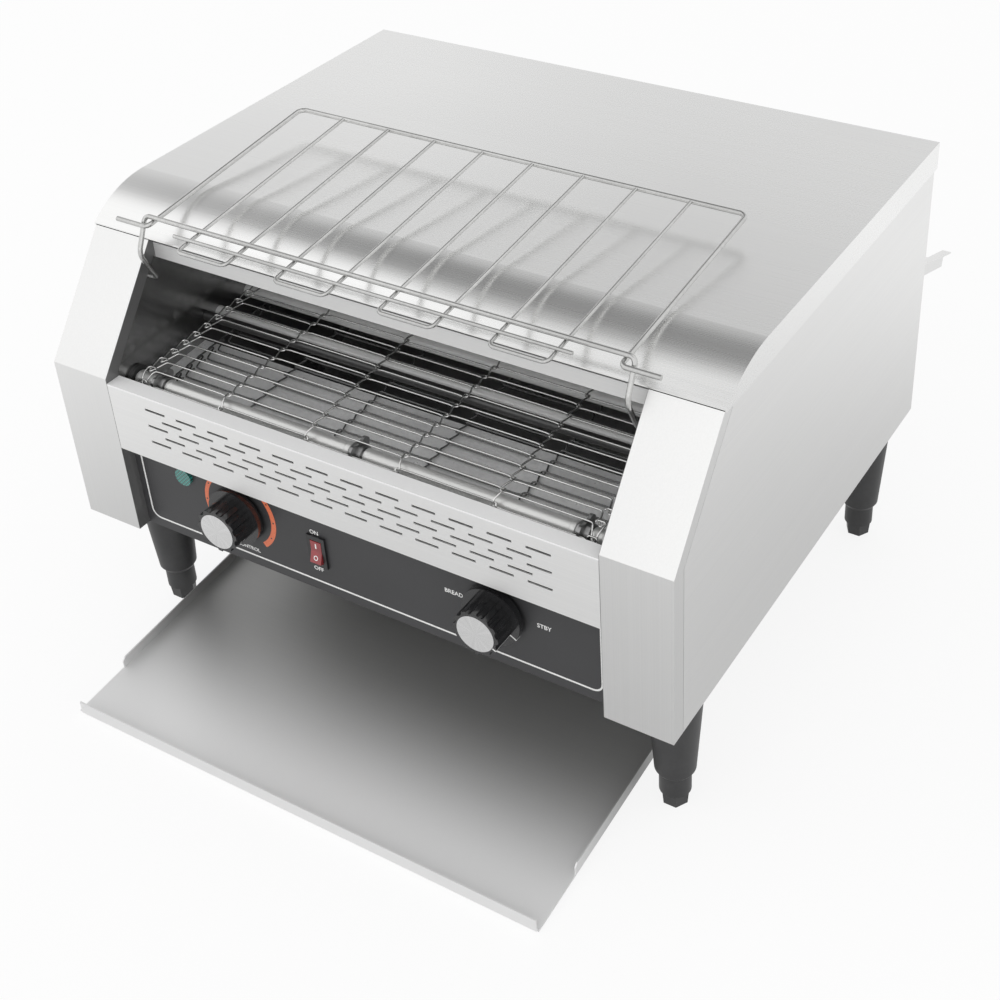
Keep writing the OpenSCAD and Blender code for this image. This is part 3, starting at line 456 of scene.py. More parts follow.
def shaded_lower_run(f):
    """Painted shade on the belt's lower run: what lies under the line through both shafts is
    darker.
    """
    _, y, z = f.axes(f.place())
    across, rise = DRIVE_AXIS - FRONT_AXIS
    slope = float(rise / across)
    over = z - y * slope - float(FRONT_AXIS[1] - FRONT_AXIS[0] * slope)
    return 1.0 - over.step(-9 * MM, -2 * MM), (0.20,) * 3, 0.7


def satin(name, base, rough, metal=1.0, grain=220.0, depth=0.4, mask=None):
    """Satin metal with a fine even grain and a slow change of tone."""
    f = Finish(name)
    grit = f.noise(f.place(scale=(grain,) * 3), detail=3.0, rough=0.6)
    cloud = f.noise(f.place(scale=(9,) * 3))
    tone = f.blend(cloud.step(0.3, 0.7), shade(base, 0.9), shade(base, 1.08))
    tone = f.blend(grit.step(0.35, 0.75) * 0.5, tone, shade(base, 0.8))
    tone, metal = masked(f, mask, tone, metal)
    gloss = (grit - 0.5) * 0.14 + rough
    return f.surface(Base_Color=tone, Metallic=metal, Roughness=gloss.clamped(),
                     Normal=f.bump(grit, depth, 0.08 * MM))


def plastic(name, base, rough, coat=0.3, depth=0.12):
    """Moulded plastic: a faint orange-peel bump, handling marks in the gloss and a thin clear
    skin."""
    f = Finish(name)
    peel = f.noise(f.place(scale=(420,) * 3))
    marks = f.noise(f.place(scale=(40,) * 3), detail=4.0, rough=0.7)
    tone = f.blend(marks.step(0.35, 0.75), shade(base, 0.85), shade(base, 1.25))
    return f.surface(Base_Color=tone, Roughness=((marks - 0.5) * 0.22 + rough).clamped(),
                     Normal=f.bump(peel, depth, 0.05 * MM), Coat_Weight=coat, Coat_Roughness=0.08)


def painted(name, base, rough=0.42, grain=600.0):
    """Powder paint: a fine pebble bump and a slow change of tone."""
    f = Finish(name)
    pebble = f.noise(f.place(scale=(grain,) * 3), rough=0.6)
    cloud = f.noise(f.place(scale=(7,) * 3))
    tone = f.blend(cloud.step(0.3, 0.7), shade(base, 0.9), shade(base, 1.12))
    tone = f.blend(pebble.step(0.55, 0.8) * 0.4, tone, shade(base, 1.3))
    return f.surface(Base_Color=tone, Roughness=((pebble - 0.5) * 0.16 + rough).clamped(),
                     Normal=f.bump(pebble, 0.25, 0.06 * MM))


def quartz(name, base):
    """Milky quartz tube with faint draw lines along x and a polished skin."""
    f = Finish(name)
    lines = f.noise(f.place(scale=(2, 400, 400)))
    cloud = f.noise(f.place(scale=(18, 60, 60)))
    tone = f.blend(lines.step(0.3, 0.7), shade(base, 0.92), shade(base, 1.04))
    tone = f.blend(cloud.step(0.5, 0.8) * 0.3, tone, shade(base, 0.75))
    return f.surface(Base_Color=tone, Roughness=((cloud - 0.5) * 0.2 + 0.22).clamped(),
                     Normal=f.bump(lines, 0.15, 0.05 * MM), Coat_Weight=0.8, Coat_Roughness=0.05)


def turned_metal(name, base, centre):
    """A cap turned on a lathe: rings round its axis along y, from the distance to the centre, and
    faint rays, from the angle round it."""
    f = Finish(name)
    x, _, z = f.axes(f.place(shift=tuple(-c for c in centre)))
    away = (x * x + z * z) ** 0.5
    angle = f.node("ShaderNodeMath", {"operation": "ARCTAN2"}, {0: z, 1: x})
    rings = f.noise(f.node("ShaderNodeCombineXYZ", {}, {0: away * 2600.0}), rough=0.7)
    rays = f.noise(f.node("ShaderNodeCombineXYZ", {}, {0: angle * 3.0}), detail=3.0)
    tone = f.blend(rays.step(0.2, 0.8), shade(base, 0.9), shade(base, 1.06))
    tone = f.blend(rings.step(0.3, 0.7) * 0.5, tone, shade(base, 0.85))
    gloss = (rings - 0.5) * 0.2 + 0.2
    return f.surface(Base_Color=tone, Metallic=1.0, Roughness=gloss.clamped(),
                     Normal=f.bump(rings, 0.3, 0.04 * MM))


def ink(name, base):
    """Screen-printed ink: a faint grain and a slightly worn tone."""
    f = Finish(name)
    grit = f.noise(f.place(scale=(900,) * 3))
    tone = f.blend(grit.step(0.35, 0.8), base, shade(base, 0.78))
    return f.surface(Base_Color=tone, Roughness=((grit - 0.5) * 0.2 + 0.45).clamped(),
                     Normal=f.bump(grit, 0.1, 0.03 * MM))


def lens(name, base):
    """A moulded lamp lens: square ribs across it, with painted highlights on their crests over a
    dark body and a faint glow of the same tone.
    """
    f = Finish(name)
    x, _, z = f.axes(f.place(scale=(1900, 1, 1900)))    # radians in a metre
    across, down = (f.node("ShaderNodeMath", {"operation": "SINE"}, {0: v}) for v in (x, z))
    ribs = across * down
    tone = f.blend((ribs * 0.5 + 0.5).step(0.2, 0.9), shade(base, 0.6), shade(base, 2.2))
    return f.surface(Base_Color=tone, Roughness=(ribs * 0.05 + 0.12).clamped(), Coat_Weight=1.0,
                     Normal=f.bump(ribs, 0.5, 0.3 * MM), Emission_Color=tone,
                     Emission_Strength=0.12)


# ---- Operators ----

def settings():
    """The sizes and colours of the scene's toaster."""
    return bpy.context.scene.toaster


NODE_FINISH = {
    "cover": ("top_cover",),
    "side": ("side_panel_left", "side_panel_right"),
    "upright": ("column_left", "column_right"),
    "rear": ("rear_panel", "base_pan", "rear_guard"),
    "fascia": ("vent_fascia",),
    "tray": ("toast_tray", "tray_runners"),
    "header": ("header_strip",),
    "cheek": ("cheek_left", "cheek_right"),
    "dark": ("belt_rests", "drive_chain", "shaft_bushes"),
    "deck": ("belt_deck",),
    "inside": ("box_shield", "upper_reflector", "toast_slide"),
    "panel": ("control_panel",),
    "quartz": ("upper_heaters", "lower_heaters"),
    "ceramic": ("heater_caps", "terminal_block"),
    "steel": ("front_shaft", "drive_shaft", "motor_sprocket", "driven_sprocket", "speed_spindle",
              "selector_spindle"),
    "motor": ("gear_motor",),
    "black": ("switch_body", "cable_gland", "fan_frame", "fan_rotor"),
    "board": ("speed_controller", "selector_switch"),
    "red": ("rocker",),
    "lens": ("indicator_lamp",),
    "knob": ("speed_knob", "selector_knob"),
    "speed_cap": ("speed_knob_cap",),
    "selector_cap": ("selector_knob_cap",),
    "rack": ("rack_frame", "rack_wires", "rack_rail"),
    "leg": tuple(f"{kind}_{place}_{side}" for kind in ("leg", "foot")
                 for place in ("front", "rear") for side in ("left", "right")),
}


def finishes():
    """Every finish by its plain name."""
    c = settings().colours
    return {
        # The shell's one steel is painted lighter or darker face by face, as painted light and
        # shade: the cover, the sides and the fascia lighter, the header darker, and the columns'
        # inner faces and the tray under the machine darkest.
        "cover": brushed("brushed_cover", shade(c.shell, 1.12), "x", rough=0.28),
        "side": brushed("brushed_side", shade(c.shell, 1.06), "y", rough=0.36),
        "upright": brushed("brushed_upright", c.shell, "z", rough=0.34, depth=0.7,
                           mask=shaded_inner_edge),
        "rear": brushed("brushed_rear", c.shell, "x", rough=0.36),
        "fascia": brushed("brushed_fascia", shade(c.shell, 1.04), "x", rough=0.38, depth=0.7,
                          metal=0.75, mask=top_flange),
        "tray": brushed("brushed_tray", shade(c.shell, 0.55), "x", rough=0.4, metal=0.8,
                        mask=tray_light_and_shade),
        "header": brushed("brushed_header", shade(c.shell, 0.82), "x", rough=0.4, metal=0.2),
        "cheek": satin("browned_steel", c.cheek, rough=0.24, grain=160.0, depth=0.15),
        "deck": satin("deck_steel", c.deck, rough=0.3, metal=0.3, depth=0.06),
        "dark": satin("dark_steel", (0.10, 0.10, 0.10), rough=0.4, metal=0.8),
        "inside": satin("dull_steel", c.inner, rough=0.45, grain=260.0),
        "panel": painted("panel_paint", c.panel),
        "quartz": quartz("milky_quartz", c.quartz),
        "ceramic": painted("ceramic", (0.74, 0.71, 0.65), rough=0.55, grain=300.0),
        "steel": satin("turned_steel", (0.66, 0.66, 0.65), rough=0.26, grain=380.0, depth=0.2),
        "motor": painted("motor_paint", (0.24, 0.25, 0.26), rough=0.4),
        "black": plastic("black_plastic", c.black, rough=0.34),
        "board": plastic("resin", (0.30, 0.20, 0.09), rough=0.45),
        "red": plastic("red_plastic", c.red, rough=0.16, coat=0.8, depth=0.05),
        "lens": lens("lamp_lens", c.green),
        "knob": plastic("knob_plastic", c.black, rough=0.20, coat=0.6, depth=0.06),
        "speed_cap": turned_metal("speed_cap_metal", (0.92, 0.92, 0.92), SPEED),
        "selector_cap": turned_metal("selector_cap_metal", (0.92, 0.92, 0.92), SELECTOR),
        "rack": satin("plated_wire", shade(c.wire, 0.72), rough=0.20, grain=300.0, depth=0.12),
        "leg": plastic("leg_plastic", (0.035, 0.035, 0.036), rough=0.42, coat=0.1),
    }


def keep(piece, body, slot, material, *nodes):
    """Gives a finished piece its material and its body, and hides the CAD nodes it stands for."""
    piece.data.materials.clear()
    piece.data.materials.append(material)
    if nodes:
        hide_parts(*nodes)
    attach(piece, body)


class TOASTER_OT_finishes(bpy.types.Operator):
    """Gives every part of the frame its finish"""
    bl_idname = "toaster.finishes"
    bl_label = "Finishes"

    def execute(self, context):
        made = finishes()
        for key, names in NODE_FINISH.items():
            for name in names:
                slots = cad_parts[name].data.materials
                slots.clear()
                slots.append(made[key])
        return {"FINISHED"}


def loop_map(points, sizes):
    """Carries (x, s, n) points onto the belt's loop: s runs back along the upper run, down round
    the drive shaft, forward along the lower run and up round the front shaft, and n is the height
    over the belt's middle line. Round a shaft the point is axis + (r + n)(sin f, cos f), where f
    is the way gone round it divided by r."""
    x, s, n = points[..., 0], points[..., 1], points[..., 2]
    r = sizes.radius
    run = float(np.linalg.norm(DRIVE_AXIS - FRONT_AXIS))
    slope = math.atan2(*(DRIVE_AXIS - FRONT_AXIS)[::-1])
    half = math.pi * r
    s = np.mod(s, 2 * (run + half))
    f = (s - run) / r
    g = (s - 2 * run - half) / r
    where = [s < run, s < run + half, s < 2 * run + half]
    a = np.select(where, [s, run + (r + n) * np.sin(f), 2 * run + half - s], -(r + n) * np.sin(g))
    b = np.select(where, [r + n, (r + n) * np.cos(f), -(r + n)], -(r + n) * np.cos(g))
    y = FRONT_AXIS[0] + a * math.cos(slope) - b * math.sin(slope)
    z = FRONT_AXIS[1] + a * math.sin(slope) + b * math.cos(slope)
    return np.stack([x, y, z], -1)


def loop_length(sizes):
    """The length of the belt's loop: two straight runs and two half turns."""
    return 2 * float(np.linalg.norm(DRIVE_AXIS - FRONT_AXIS)) + 2 * math.pi * sizes.radius


# The eye at a strand's end: x in millimetres from the belt's side, s in EYE_PARTS of a pitch,
# n in half wires.
EYE = np.array([
    [8, 1, 1], [7.5, 2.8, 1], [1.5, 2.8, 1], [0, 1, 0.4], [1, -6, -0.4], [2.5, -13.5, -1],
    [3.5, -15, -1], [5, -13.5, -1], [8.5, -2.5, -0.5], [9.5, -0.5, 0], [13, 0, 0],
])
EYE_PARTS = 13.5
LEGS = np.array([-0.6, -0.2, 0.2, 0.6])     # where the legs stand, in halves of the belt's width


def strand_line(sizes):
    """The corner points of one strand in (x, s, n). It crosses the belt in five lengths that lie
    turn about on its own row and on the next, joined by legs; legs pass over, lengths dip under,
    and each end is an eye, wide at the rear and pointed in front, that hooks on the row before."""
    p = loop_length(sizes) / sizes.rows
    w, c, e, d = BELT_HALF - sizes.wire / 2, sizes.lean, sizes.over, sizes.wire / 2
    joints = LEGS * w
    eye = EYE * (MM, p / EYE_PARTS, d) - (w, e, 0)
    step = np.array([
        [-c - 4 * MM, -e, 0], [-c - 0.5 * MM, -e, -d], [c, -e, 0], [0.72 * c, 0.22 * p, d],
        [0.0, 0.5 * p, d], [-0.72 * c, 0.78 * p, d], [-c, p + e, 0], [c + 0.5 * MM, p + e, -d],
        [c + 4 * MM, p + e, 0],
    ])
    mirrored = lambda line: np.column_stack([-line[::-1, 0], line[::-1, 1:]])
    legs = [leg + (x, 0, 0) for leg, x in zip((step, mirrored(step)) * 2, joints)]
    return np.concatenate([eye, *legs, mirrored(eye)])


class TOASTER_OT_belt(bpy.types.Operator):
    """Weaves the wire belt: one strand, repeated round the loop"""
    bl_idname = "toaster.belt"
    bl_label = "Wire belt"

    def execute(self, context):
        sizes = settings().belt
        pitch = loop_length(sizes) / sizes.rows
        line = rounded(strand_line(sizes), sizes.bend, steps=3)
        points, faces = tube(line, sizes.wire / 2, sides=6, ends=1)
        flat = points.reshape(-1, 3)
        row = np.arange(sizes.rows)[:, None, None]
        moves = row * np.array([0, pitch, 0]) + (0, sizes.phase + sizes.over, 0)
        every = loop_map(flat[None] + moves, sizes).reshape(-1, 3)
        quads = (faces[None] + row * len(flat)).reshape(-1, 4)
        piece = put_mesh("wire_belt", [(every, quads)], smooth_angle=75)
        # the mask paints shade on the belt's lower run
        wire = satin("belt_wire", settings().colours.wire, rough=0.24, grain=300.0, depth=0.15,
                     mask=shaded_lower_run)
        keep(piece, "chassis", "belt_wire", wire, "conveyor_belt")
        return {"FINISHED"}


def sprocket(sizes, x, axis, hub):
    """A four-toothed plate on a hub. The plate is turned first; then a point at or over the root
    moves to root + bell * (its height over the root), where bell = 1 / (1 + (off / width)^4) and
    off is its angle from the middle of the nearest tooth."""
    root, tip, half = 10.5 * MM, 14.7 * MM, 1.5 * MM
    bevel, least = 0.3 * MM, 0.1 * MM
    width_radius = 12 * MM      # where a tooth is as wide as the setting says
    bore = SHAFT_R + CLEAR
    plate = [(-half, bore), (-half, root), (-half + bevel, tip),
             (half - bevel, tip), (half, root), (half, bore)]
    points, faces = turned(plate, (x, *axis), (1, 0, 0), sides=120)
    out = points[..., 1:] - axis
    a, r = np.arctan2(out[..., 1], out[..., 0]), np.linalg.norm(out, axis=-1)
    off = np.abs(np.degrees(a) % 90 - 45)
    bell = 1 / (1 + (off / np.degrees(sizes.tooth / 2 / width_radius)) ** 4)
    height = (tip - root) * (r - root + least) / (tip - root + least)
    r = np.where(r > root - SLIVER, root + height * bell, r)
    points[..., 1], points[..., 2] = axis[0] + r * np.cos(a), axis[1] + r * np.sin(a)
    collar = [(-hub / 2, bore), (-hub / 2, sizes.hub), (hub / 2, sizes.hub), (hub / 2, bore)]
    return [(points, faces), turned(edge_round(collar, 0.8 * MM), (x, *axis), (1, 0, 0))]


def roller(x0, x1, radius):
    """A roller between two places on the front shaft: its profile is rounded at both ends, and a
    long one has a shallow step near each end."""
    bore, short = SHAFT_R + CLEAR, 20 * MM
    half = [(x0, bore), (x0, radius - 0.5 * MM), (x0 + 0.6 * MM, radius), (x0 + 3.0 * MM, radius)]
    if x1 - x0 > short:
        half += [(x0 + 4.2 * MM, radius), (x0 + 4.8 * MM, radius - 0.4 * MM)]
    shape = half + [(x0 + x1 - a, b) for a, b in half[::-1]]
    return turned(edge_round(shape, 0.25 * MM), (0, *FRONT_AXIS), (1, 0, 0))


class TOASTER_OT_wheels(bpy.types.Operator):
    """Makes the belt's sprockets and the rollers between them"""
    bl_idname = "toaster.wheels"
    bl_label = "Sprockets and rollers"

    def execute(self, context):
        sizes = settings().belt
        side, wider = BELT_HALF - WHEEL_INSET, 3 * MM
        front = (-side, 0, side)
        rear = (-side - wider, -BELT_HALF / 2, 0, BELT_HALF / 2, side + wider)
        metal = satin("sprocket_steel", (0.34,) * 3, rough=0.36, grain=300.0)
        for name, axis, places, hub, body, node in (
                ("front_wheels", FRONT_AXIS, front, 11 * MM, "front_axle", "front_sprockets"),
                ("drive_wheels", DRIVE_AXIS, rear, 24 * MM, "drive_axle", "drive_sprockets")):
            parts = [part for x in places for part in sprocket(sizes, x, axis, hub)]
            keep(put_mesh(name, parts), body, "bright_steel", metal, node)
        gap, end = 6.5 * MM, float(span("front_rollers")[0] / 2)
        ends = ((-end, -side - gap), (-side + gap, -gap), (gap, side - gap), (side + gap, end))
        rollers = put_mesh("rollers", [roller(x0, x1, sizes.roller_r) for x0, x1 in ends])
        metal = brushed("roller_steel", (0.72, 0.72, 0.71), "x", rough=0.30, depth=0.8, metal=0.6)
        keep(rollers, "front_axle", "bright_steel", metal, "front_rollers")
        return {"FINISHED"}


def words(text, size, x, z, y):
    """Flat bold letters as a mesh, turned to face the front, with their middle at x and z on the
    plane y."""
    curve = bpy.data.curves.new(text, "FONT")
    curve.body, curve.size, curve.align_x, curve.align_y = text, size, "CENTER", "CENTER"
    curve.extrude, curve.offset, curve.resolution_u = 0.05 * MM, 0.018 * size, 3
    holder = bpy.data.objects.new(text, curve)
    bpy.context.scene.collection.objects.link(holder)
    bpy.context.view_layer.update()
    whole = holder.evaluated_get(bpy.context.evaluated_depsgraph_get())
    mesh = bpy.data.meshes.new_from_object(whole)
    bpy.data.objects.remove(holder)
    upright = Matrix.Rotation(math.pi / 2, 4, "X")
    mesh.transform(Matrix.Translation((x, y - PRINT_OUT / 2, z)) @ upright)
    return mesh


def bar(lines):
    """A bar with four edge lines of as many points each, closed at both ends."""
    points = np.stack(lines)
    n = points.shape[1]
    ends = np.arange(4)[None] * n + np.array([[0], [n - 1]])
    return points, np.concatenate([grid_faces(4, n, wrap_rows=True), ends])


def dial_ring(sizes, centre):
    """The dial's ring on the plane of the panel: (cos a, sin a) times a middle radius, plus or
    minus half a width that grows clockwise; it is open at the bottom."""
    a = np.radians(np.linspace(-52, 232, 96))
    way = np.column_stack([np.cos(a), np.sin(a)])
    half = np.linspace(1.0, 0.7, len(a))[:, None] * sizes.ring_w / 2
    place = lambda r, out: np.insert(centre + way * r, 1, PANEL_Y - out, axis=1)
    far, near, out = sizes.ring_r + half, sizes.ring_r - half, PRINT_OUT
    return bar([place(far, 0), place(far, out), place(near, out), place(near, 0)])


def dial_dots(sizes, centre):
    """Small round dots along the ring's middle line, just proud of the ring."""
    spots = np.radians(np.linspace(-30, 210, 9))
    hole, radius, thick = 0.02 * MM, 0.8 * MM, 0.06 * MM
    disc = [(0, hole), (0, radius), (thick, radius), (thick, hole)]
    level = PANEL_Y - PRINT_OUT - 0.01 * MM
    return [turned(disc, (centre[0] + sizes.ring_r * math.cos(a), level,
                          centre[1] + sizes.ring_r * math.sin(a)), (0, -1, 0), sides=14)
            for a in spots]


def rocker_marks():
    """A bar on the rocker's upper face and a ring on its lower one. A point at (x, z) that stands
    out by -y is laid on a face that slopes by the angle t from the ridge: it moves to
    (x, z sin t + y cos t, z cos t - y sin t)."""
    ridge = np.array([SWITCH[0], PANEL_Y - 2.47 * MM, SWITCH[2] + 0.31 * MM])
    upright = box_round(0.6 * MM, 2.3 * MM, 0.2 * MM)
    ring = box_round(2.1 * MM, 2.1 * MM, 2.05 * MM)
    parts = []
    # outline, its hole's share, its height from the ridge and the face's slope in degrees
    for shape, hole, rise, slope in ((upright, 0.02, 5.6 * MM, 0.5), (ring, 0.68, -5.4 * MM, 17.5)):
        t = math.radians(slope)
        points, quads = flat_band(shape + (0, rise), shape * hole + (0, rise), 0, 0.1 * MM)
        x, y, z = np.moveaxis(points, -1, 0)
        back, up = z * math.sin(t) + y * math.cos(t), z * math.cos(t) - y * math.sin(t)
        parts.append((np.stack([x, back, up], -1) + ridge, quads))
    return parts


def pointer_line(sizes):
    """A line on the selector knob at four o'clock: from the cap over the front edge, along the grip
    and over the skirt. Its profile (radius, y) is pushed out of the knob by out, and its foot is
    pushed into it."""
    low, high = (np.array(corner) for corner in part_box("selector_knob"))
    skirt, face, back = (high[0] - low[0]) / 2, low[1], high[1]
    grip, step = skirt - 6 * MM, back - 5.5 * MM
    cap, lip, out, foot = 16.4 * MM, 0.4 * MM, 0.08 * MM, -0.1 * MM
    end = back - lip
    profile = np.array([(cap, face), (grip, face), (grip, step), (skirt, step), (skirt, end)])
    push = np.array([(0, -1), (1, -1), (1, -1), (1, -1), (1, 0)])
    a, half = math.radians(-30), sizes.pointer / 2
    way, side = np.array([math.cos(a), 0, math.sin(a)]), np.array([-math.sin(a), 0, math.cos(a)])

    def edge(proud, across):
        """One of the line's four edges, from its profile pushed out and moved across."""
        r, y = (profile + push * proud).T
        middle_line = (SELECTOR[0], 0, SELECTOR[2]) + r[:, None] * way + y[:, None] * (0, 1, 0)
        return middle_line + across * side

    return bar([edge(out, -half), edge(out, half), edge(foot, half), edge(foot, -half)])


def joined(name, meshes):
    """One piece from several meshes."""
    both = bmesh.new()
    for mesh in meshes:
        both.from_mesh(mesh)
    out = bpy.data.meshes.new(name)
    both.to_mesh(out)
    both.free()
    piece = bpy.data.objects.new(name, out)
    bpy.context.scene.collection.objects.link(piece)
    return piece


# Text, size in letters, x in millimetres from the middle and z in millimetres over the panel's
# lower edge.
WORDS = (
    ("ON", 0.72, -39.9, 59.4), ("OFF", 0.72, -40.3, 22.4), ("SPEED CONTROL", 0.66, -121, 16.1),
    ("BREAD", 0.72, 91.4, 52.5), ("STBY", 0.72, 170.5, 52.5),
)


class TOASTER_OT_printing(bpy.types.Operator):
    """Prints the panel's frame line, the dial ring with its marks, and the few plain words"""
    bl_idname = "toaster.printing"
    bl_label = "Panel printing"

    def execute(self, context):
        sizes = settings().printing
        white, orange = ink("white_ink", sizes.ink), ink("orange_ink", sizes.ring)
        # the frame line runs on up behind the fascia, so its upper side is hidden
        z0, z1 = PANEL_Z0 + sizes.low, float(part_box("vent_fascia")[0][2]) + 5 * MM
        outline = lambda inset: (0, (z0 + z1) / 2) + box_round(
            sizes.side - inset, (z1 - z0) / 2 - inset, sizes.corner - inset)
        line = flat_band(outline(0), outline(sizes.line), PANEL_Y, PRINT_OUT)
        keep(put_mesh("panel_frame_line", [line]), "chassis", "panel_grey", white)
        centre = np.array([SPEED[0], PANEL_Z0 + sizes.ring_z])
        keep(put_mesh("dial_ring", [dial_ring(sizes, centre)]), "chassis", "panel_grey", orange)
        dots, dark = put_mesh("dial_dots", dial_dots(sizes, centre)), (0.06, 0.05, 0.05)
        keep(dots, "chassis", "panel_grey", ink("dark_ink", dark))
        keep(put_mesh("rocker_marks", rocker_marks()), "power_rocker", "rocker_red", white)
        pointer = put_mesh("pointer_line", [pointer_line(sizes)])
        keep(pointer, "selector_control", "knob_black", white)
        made = [words(text, big * sizes.letter, x * MM, PANEL_Z0 + z * MM, PANEL_Y)
                for text, big, x, z in WORDS]
        keep(joined("panel_words", made), "chassis", "panel_grey", white)
        return {"FINISHED"}


def aimed(back, right, up, place):
    """The placing of a camera or lamp that looks against back."""
    rows = [[right[i], up[i], back[i], place[i]] for i in range(3)]
    return Matrix(rows + [[0, 0, 0, 1]])


def put_camera(scene, s):
    """The camera: its bearing, height angle and roll turn its axes, and its place is given."""
    ce, se = math.cos(s.elevation), math.sin(s.elevation)
    ca, sa = math.cos(s.azimuth), math.sin(s.azimuth)
    back, level = np.array([sa * ce, -ca * ce, se]), np.array([ca, sa, 0.0])
    rise = np.cross(back, level)
    right = level * math.cos(s.roll) + rise * math.sin(s.roll)
    up = rise * math.cos(s.roll) - level * math.sin(s.roll)
    data = bpy.data.cameras.new("camera")
    data.sensor_width, data.lens = 36.0, s.lens
    data.shift_x, data.shift_y = s.shift
    data.clip_end = 50
    camera = bpy.data.objects.new("camera", data)
    camera.matrix_world = aimed(back, right, up, s.place)
    scene.collection.objects.link(camera)
    scene.camera = camera


def put_lamp(scene, name, power, size, place, aim):
    """A square soft lamp at a place, turned to look at its aim."""
    lamp = bpy.data.lights.new(name, "AREA")
    lamp.energy, lamp.size, lamp.shape = power, size, "SQUARE"
    back = np.array(place) - np.array(aim)
    back /= np.linalg.norm(back)
    right = np.cross((0, 0, 1), back)
    right /= np.linalg.norm(right)
    holder = bpy.data.objects.new(name, lamp)
    holder.matrix_world = aimed(back, right, np.cross(back, right), place)
    scene.collection.objects.link(holder)


def put_floor(s):
    """The floor: a matt plane that keeps shadows. It glows white where the camera or a mirror
    sees it, but stays fainter in a mirror near the object, as a shadowed floor would."""
    half, lines = 6.0, 24
    x, y = np.meshgrid(*[np.linspace(-half, half, lines)] * 2, indexing="ij")
    flat = np.stack([x, y, np.zeros_like(x)], -1)
    floor = put_mesh("floor", [(flat, grid_faces(lines, lines))])
    if floor.data.polygons[0].normal.z < 0:
        floor.data.flip_normals()
    f = Finish("floor")
    camera_ray, glossy_ray = f.rays("Is Camera Ray", "Is Glossy Ray")
    x, y, _ = f.axes(f.place())
    near, away = 0.35, 0.95
    far = ((x * x + y * y) ** 0.5).step(near, away)
    seen = camera_ray * 0.85 + glossy_ray * 0.9
    grain = f.noise(f.place(scale=(40,) * 3))
    tone = f.blend(grain, shade(s.floor, 0.99), shade(s.floor, 1.01))
    matt = f.node("ShaderNodeBsdfDiffuse", {}, {"Color": tone})
    faint, full = (f.node("ShaderNodeEmission", {}, {"Color": (1, 1, 1), "Strength": strength})
                   for strength in (0.60, 1.0))
    glow = f.mix((camera_ray + far).clamped(), faint, full)
    f.node("ShaderNodeOutputMaterial", {}, {0: f.mix(seen, matt, glow)})
    floor.data.materials.append(f.owner)


# Darker patches of the room, as steel shows them: direction x, y, z, the cosine at the patch's
# edge, and how dark its middle is.
ROOM_PATCHES = (
    (-0.42, 0.33, 0.85, 0.90, 0.66), (-0.32, 0.50, 0.80, 0.88, 0.68),
    (-0.18, 0.86, 0.48, 0.90, 0.28), (-0.66, 0.42, 0.62, 0.93, 0.30),
    (0.2, -0.86, 0.48, 0.80, 0.48), (-0.77, -0.25, 0.59, 0.84, 0.45),
    (-0.1, -0.4, 0.9, 0.88, 0.48), (-0.62, 0.70, 0.36, 0.95, 0.12),
)
PATCH_MIDDLE = 0.99      # cosine inside which a patch is at its darkest


def put_room(scene, sky):
    """The room: white for the camera, soft for light, and with darker patches in a mirror. A
    patch's share is a smooth step on the cosine between the ray and the patch's direction."""
    scene.world = bpy.data.worlds.new("room")
    w = Finish("room", scene.world)
    way = w.node("ShaderNodeTexCoord", out="Generated")
    tone = 1.0
    for *aim, edge, depth in ROOM_PATCHES:
        size = math.sqrt(sum(v * v for v in aim))
        cosine = w.node("ShaderNodeVectorMath", {"operation": "DOT_PRODUCT"},
                        {0: way, 1: tuple(v / size for v in aim)}, out="Value")
        tone = tone * (1.0 - cosine.step(edge, PATCH_MIDDLE) * depth)
    bright, dim, white, soft = (
        w.node("ShaderNodeBackground", {}, {"Color": (1, 1, 1), "Strength": strength})
        for strength in (1.08, 0.1, 1.0, sky))
    camera_ray, glossy_ray = w.rays("Is Camera Ray", "Is Glossy Ray")
    lit = w.mix(glossy_ray, soft, w.mix(tone, dim, bright))
    w.node("ShaderNodeOutputWorld", {}, {0: w.mix(camera_ray, lit, white)})


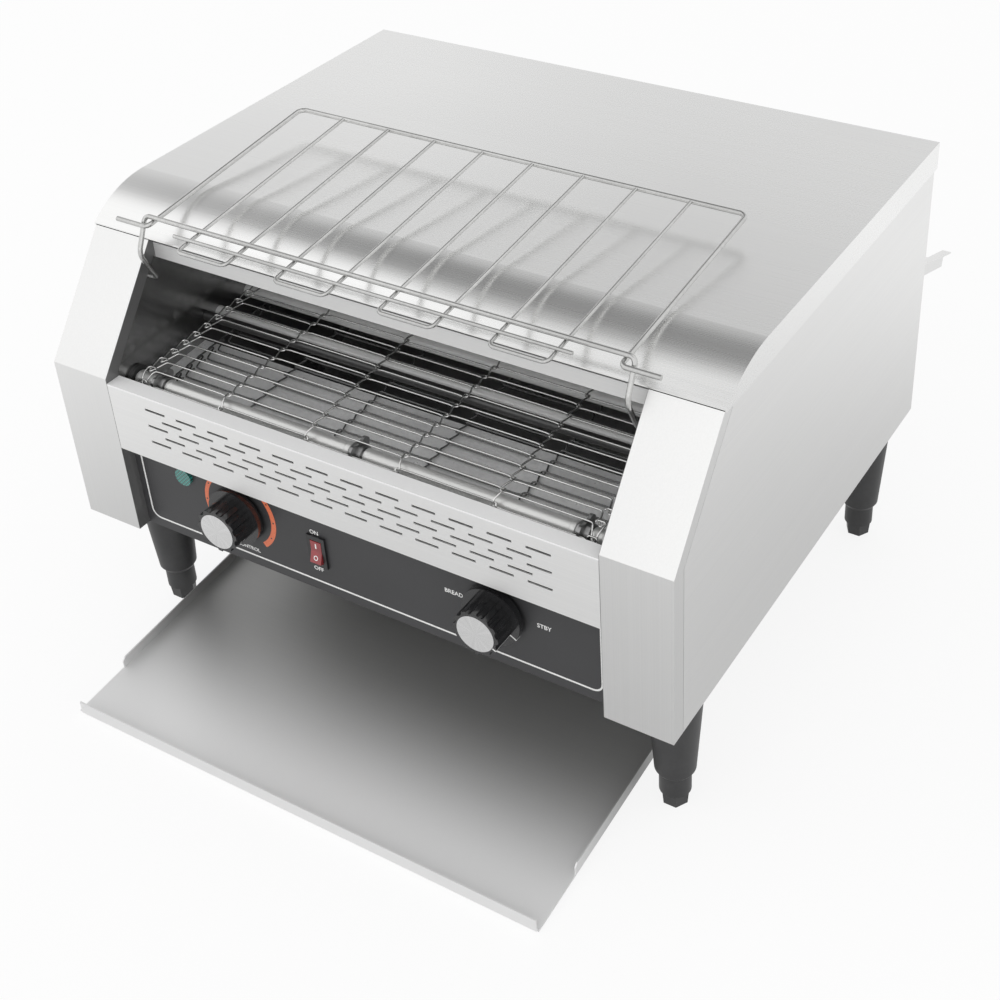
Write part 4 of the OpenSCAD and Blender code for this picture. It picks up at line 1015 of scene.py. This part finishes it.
class TOASTER_OT_stage(bpy.types.Operator):
    """Sets up the floor, the soft lights, the pale room and the camera"""
    bl_idname = "toaster.stage"
    bl_label = "Stage"

    def execute(self, context):
        scene, s = context.scene, settings().stage
        scene.view_settings.view_transform = "Standard"
        put_camera(scene, s)
        put_lamp(scene, "key", s.key, 3.4, (0.7, -2.6, 1.7), (0, 0, 0.25))
        put_lamp(scene, "fill", s.fill, 2.6, (-2.2, -1.0, 2.2), (0, 0, 0.2))
        put_floor(s)
        put_room(scene, s.sky)
        return {"FINISHED"}


# ---- Panel and registration ----

class ToasterSettings(bpy.types.PropertyGroup):
    """All sizes and colours of the toaster."""
    belt: PointerProperty(type=BeltSizes)
    printing: PointerProperty(type=PrintSizes)
    colours: PointerProperty(type=Finishes)
    stage: PointerProperty(type=StageSizes)


OPERATORS = (TOASTER_OT_finishes, TOASTER_OT_belt, TOASTER_OT_wheels, TOASTER_OT_printing,
             TOASTER_OT_stage)


class TOASTER_PT_panel(bpy.types.Panel):
    """Lists the settings and the operators"""
    bl_idname = "TOASTER_PT_panel"
    bl_label = "Toaster"
    bl_space_type = "VIEW_3D"
    bl_region_type = "UI"
    bl_category = "Toaster"

    def draw(self, context):
        """A box of settings for each group, then a button for each operator."""
        for group in ("belt", "printing", "colours", "stage"):
            values = getattr(settings(), group)
            box = self.layout.box()
            for name in values.bl_rna.properties.keys():
                if name not in ("rna_type", "name"):
                    box.prop(values, name)
        for operator in OPERATORS:
            self.layout.operator(operator.bl_idname)


CLASSES = (BeltSizes, PrintSizes, Finishes, StageSizes, ToasterSettings, *OPERATORS,
           TOASTER_PT_panel)


def register():
    """Registers every class and hangs the settings on the scene."""
    for each in CLASSES:
        bpy.utils.register_class(each)
    bpy.types.Scene.toaster = PointerProperty(type=ToasterSettings)


def unregister():
    """Undoes register, in the opposite order."""
    del bpy.types.Scene.toaster
    for each in reversed(CLASSES):
        bpy.utils.unregister_class(each)


def main():
    """Builds everything in order."""
    register()
    bpy.ops.toaster.finishes()
    bpy.ops.toaster.belt()
    bpy.ops.toaster.wheels()
    bpy.ops.toaster.printing()
    bpy.ops.toaster.stage()


if __name__ == "__main__":
    main()
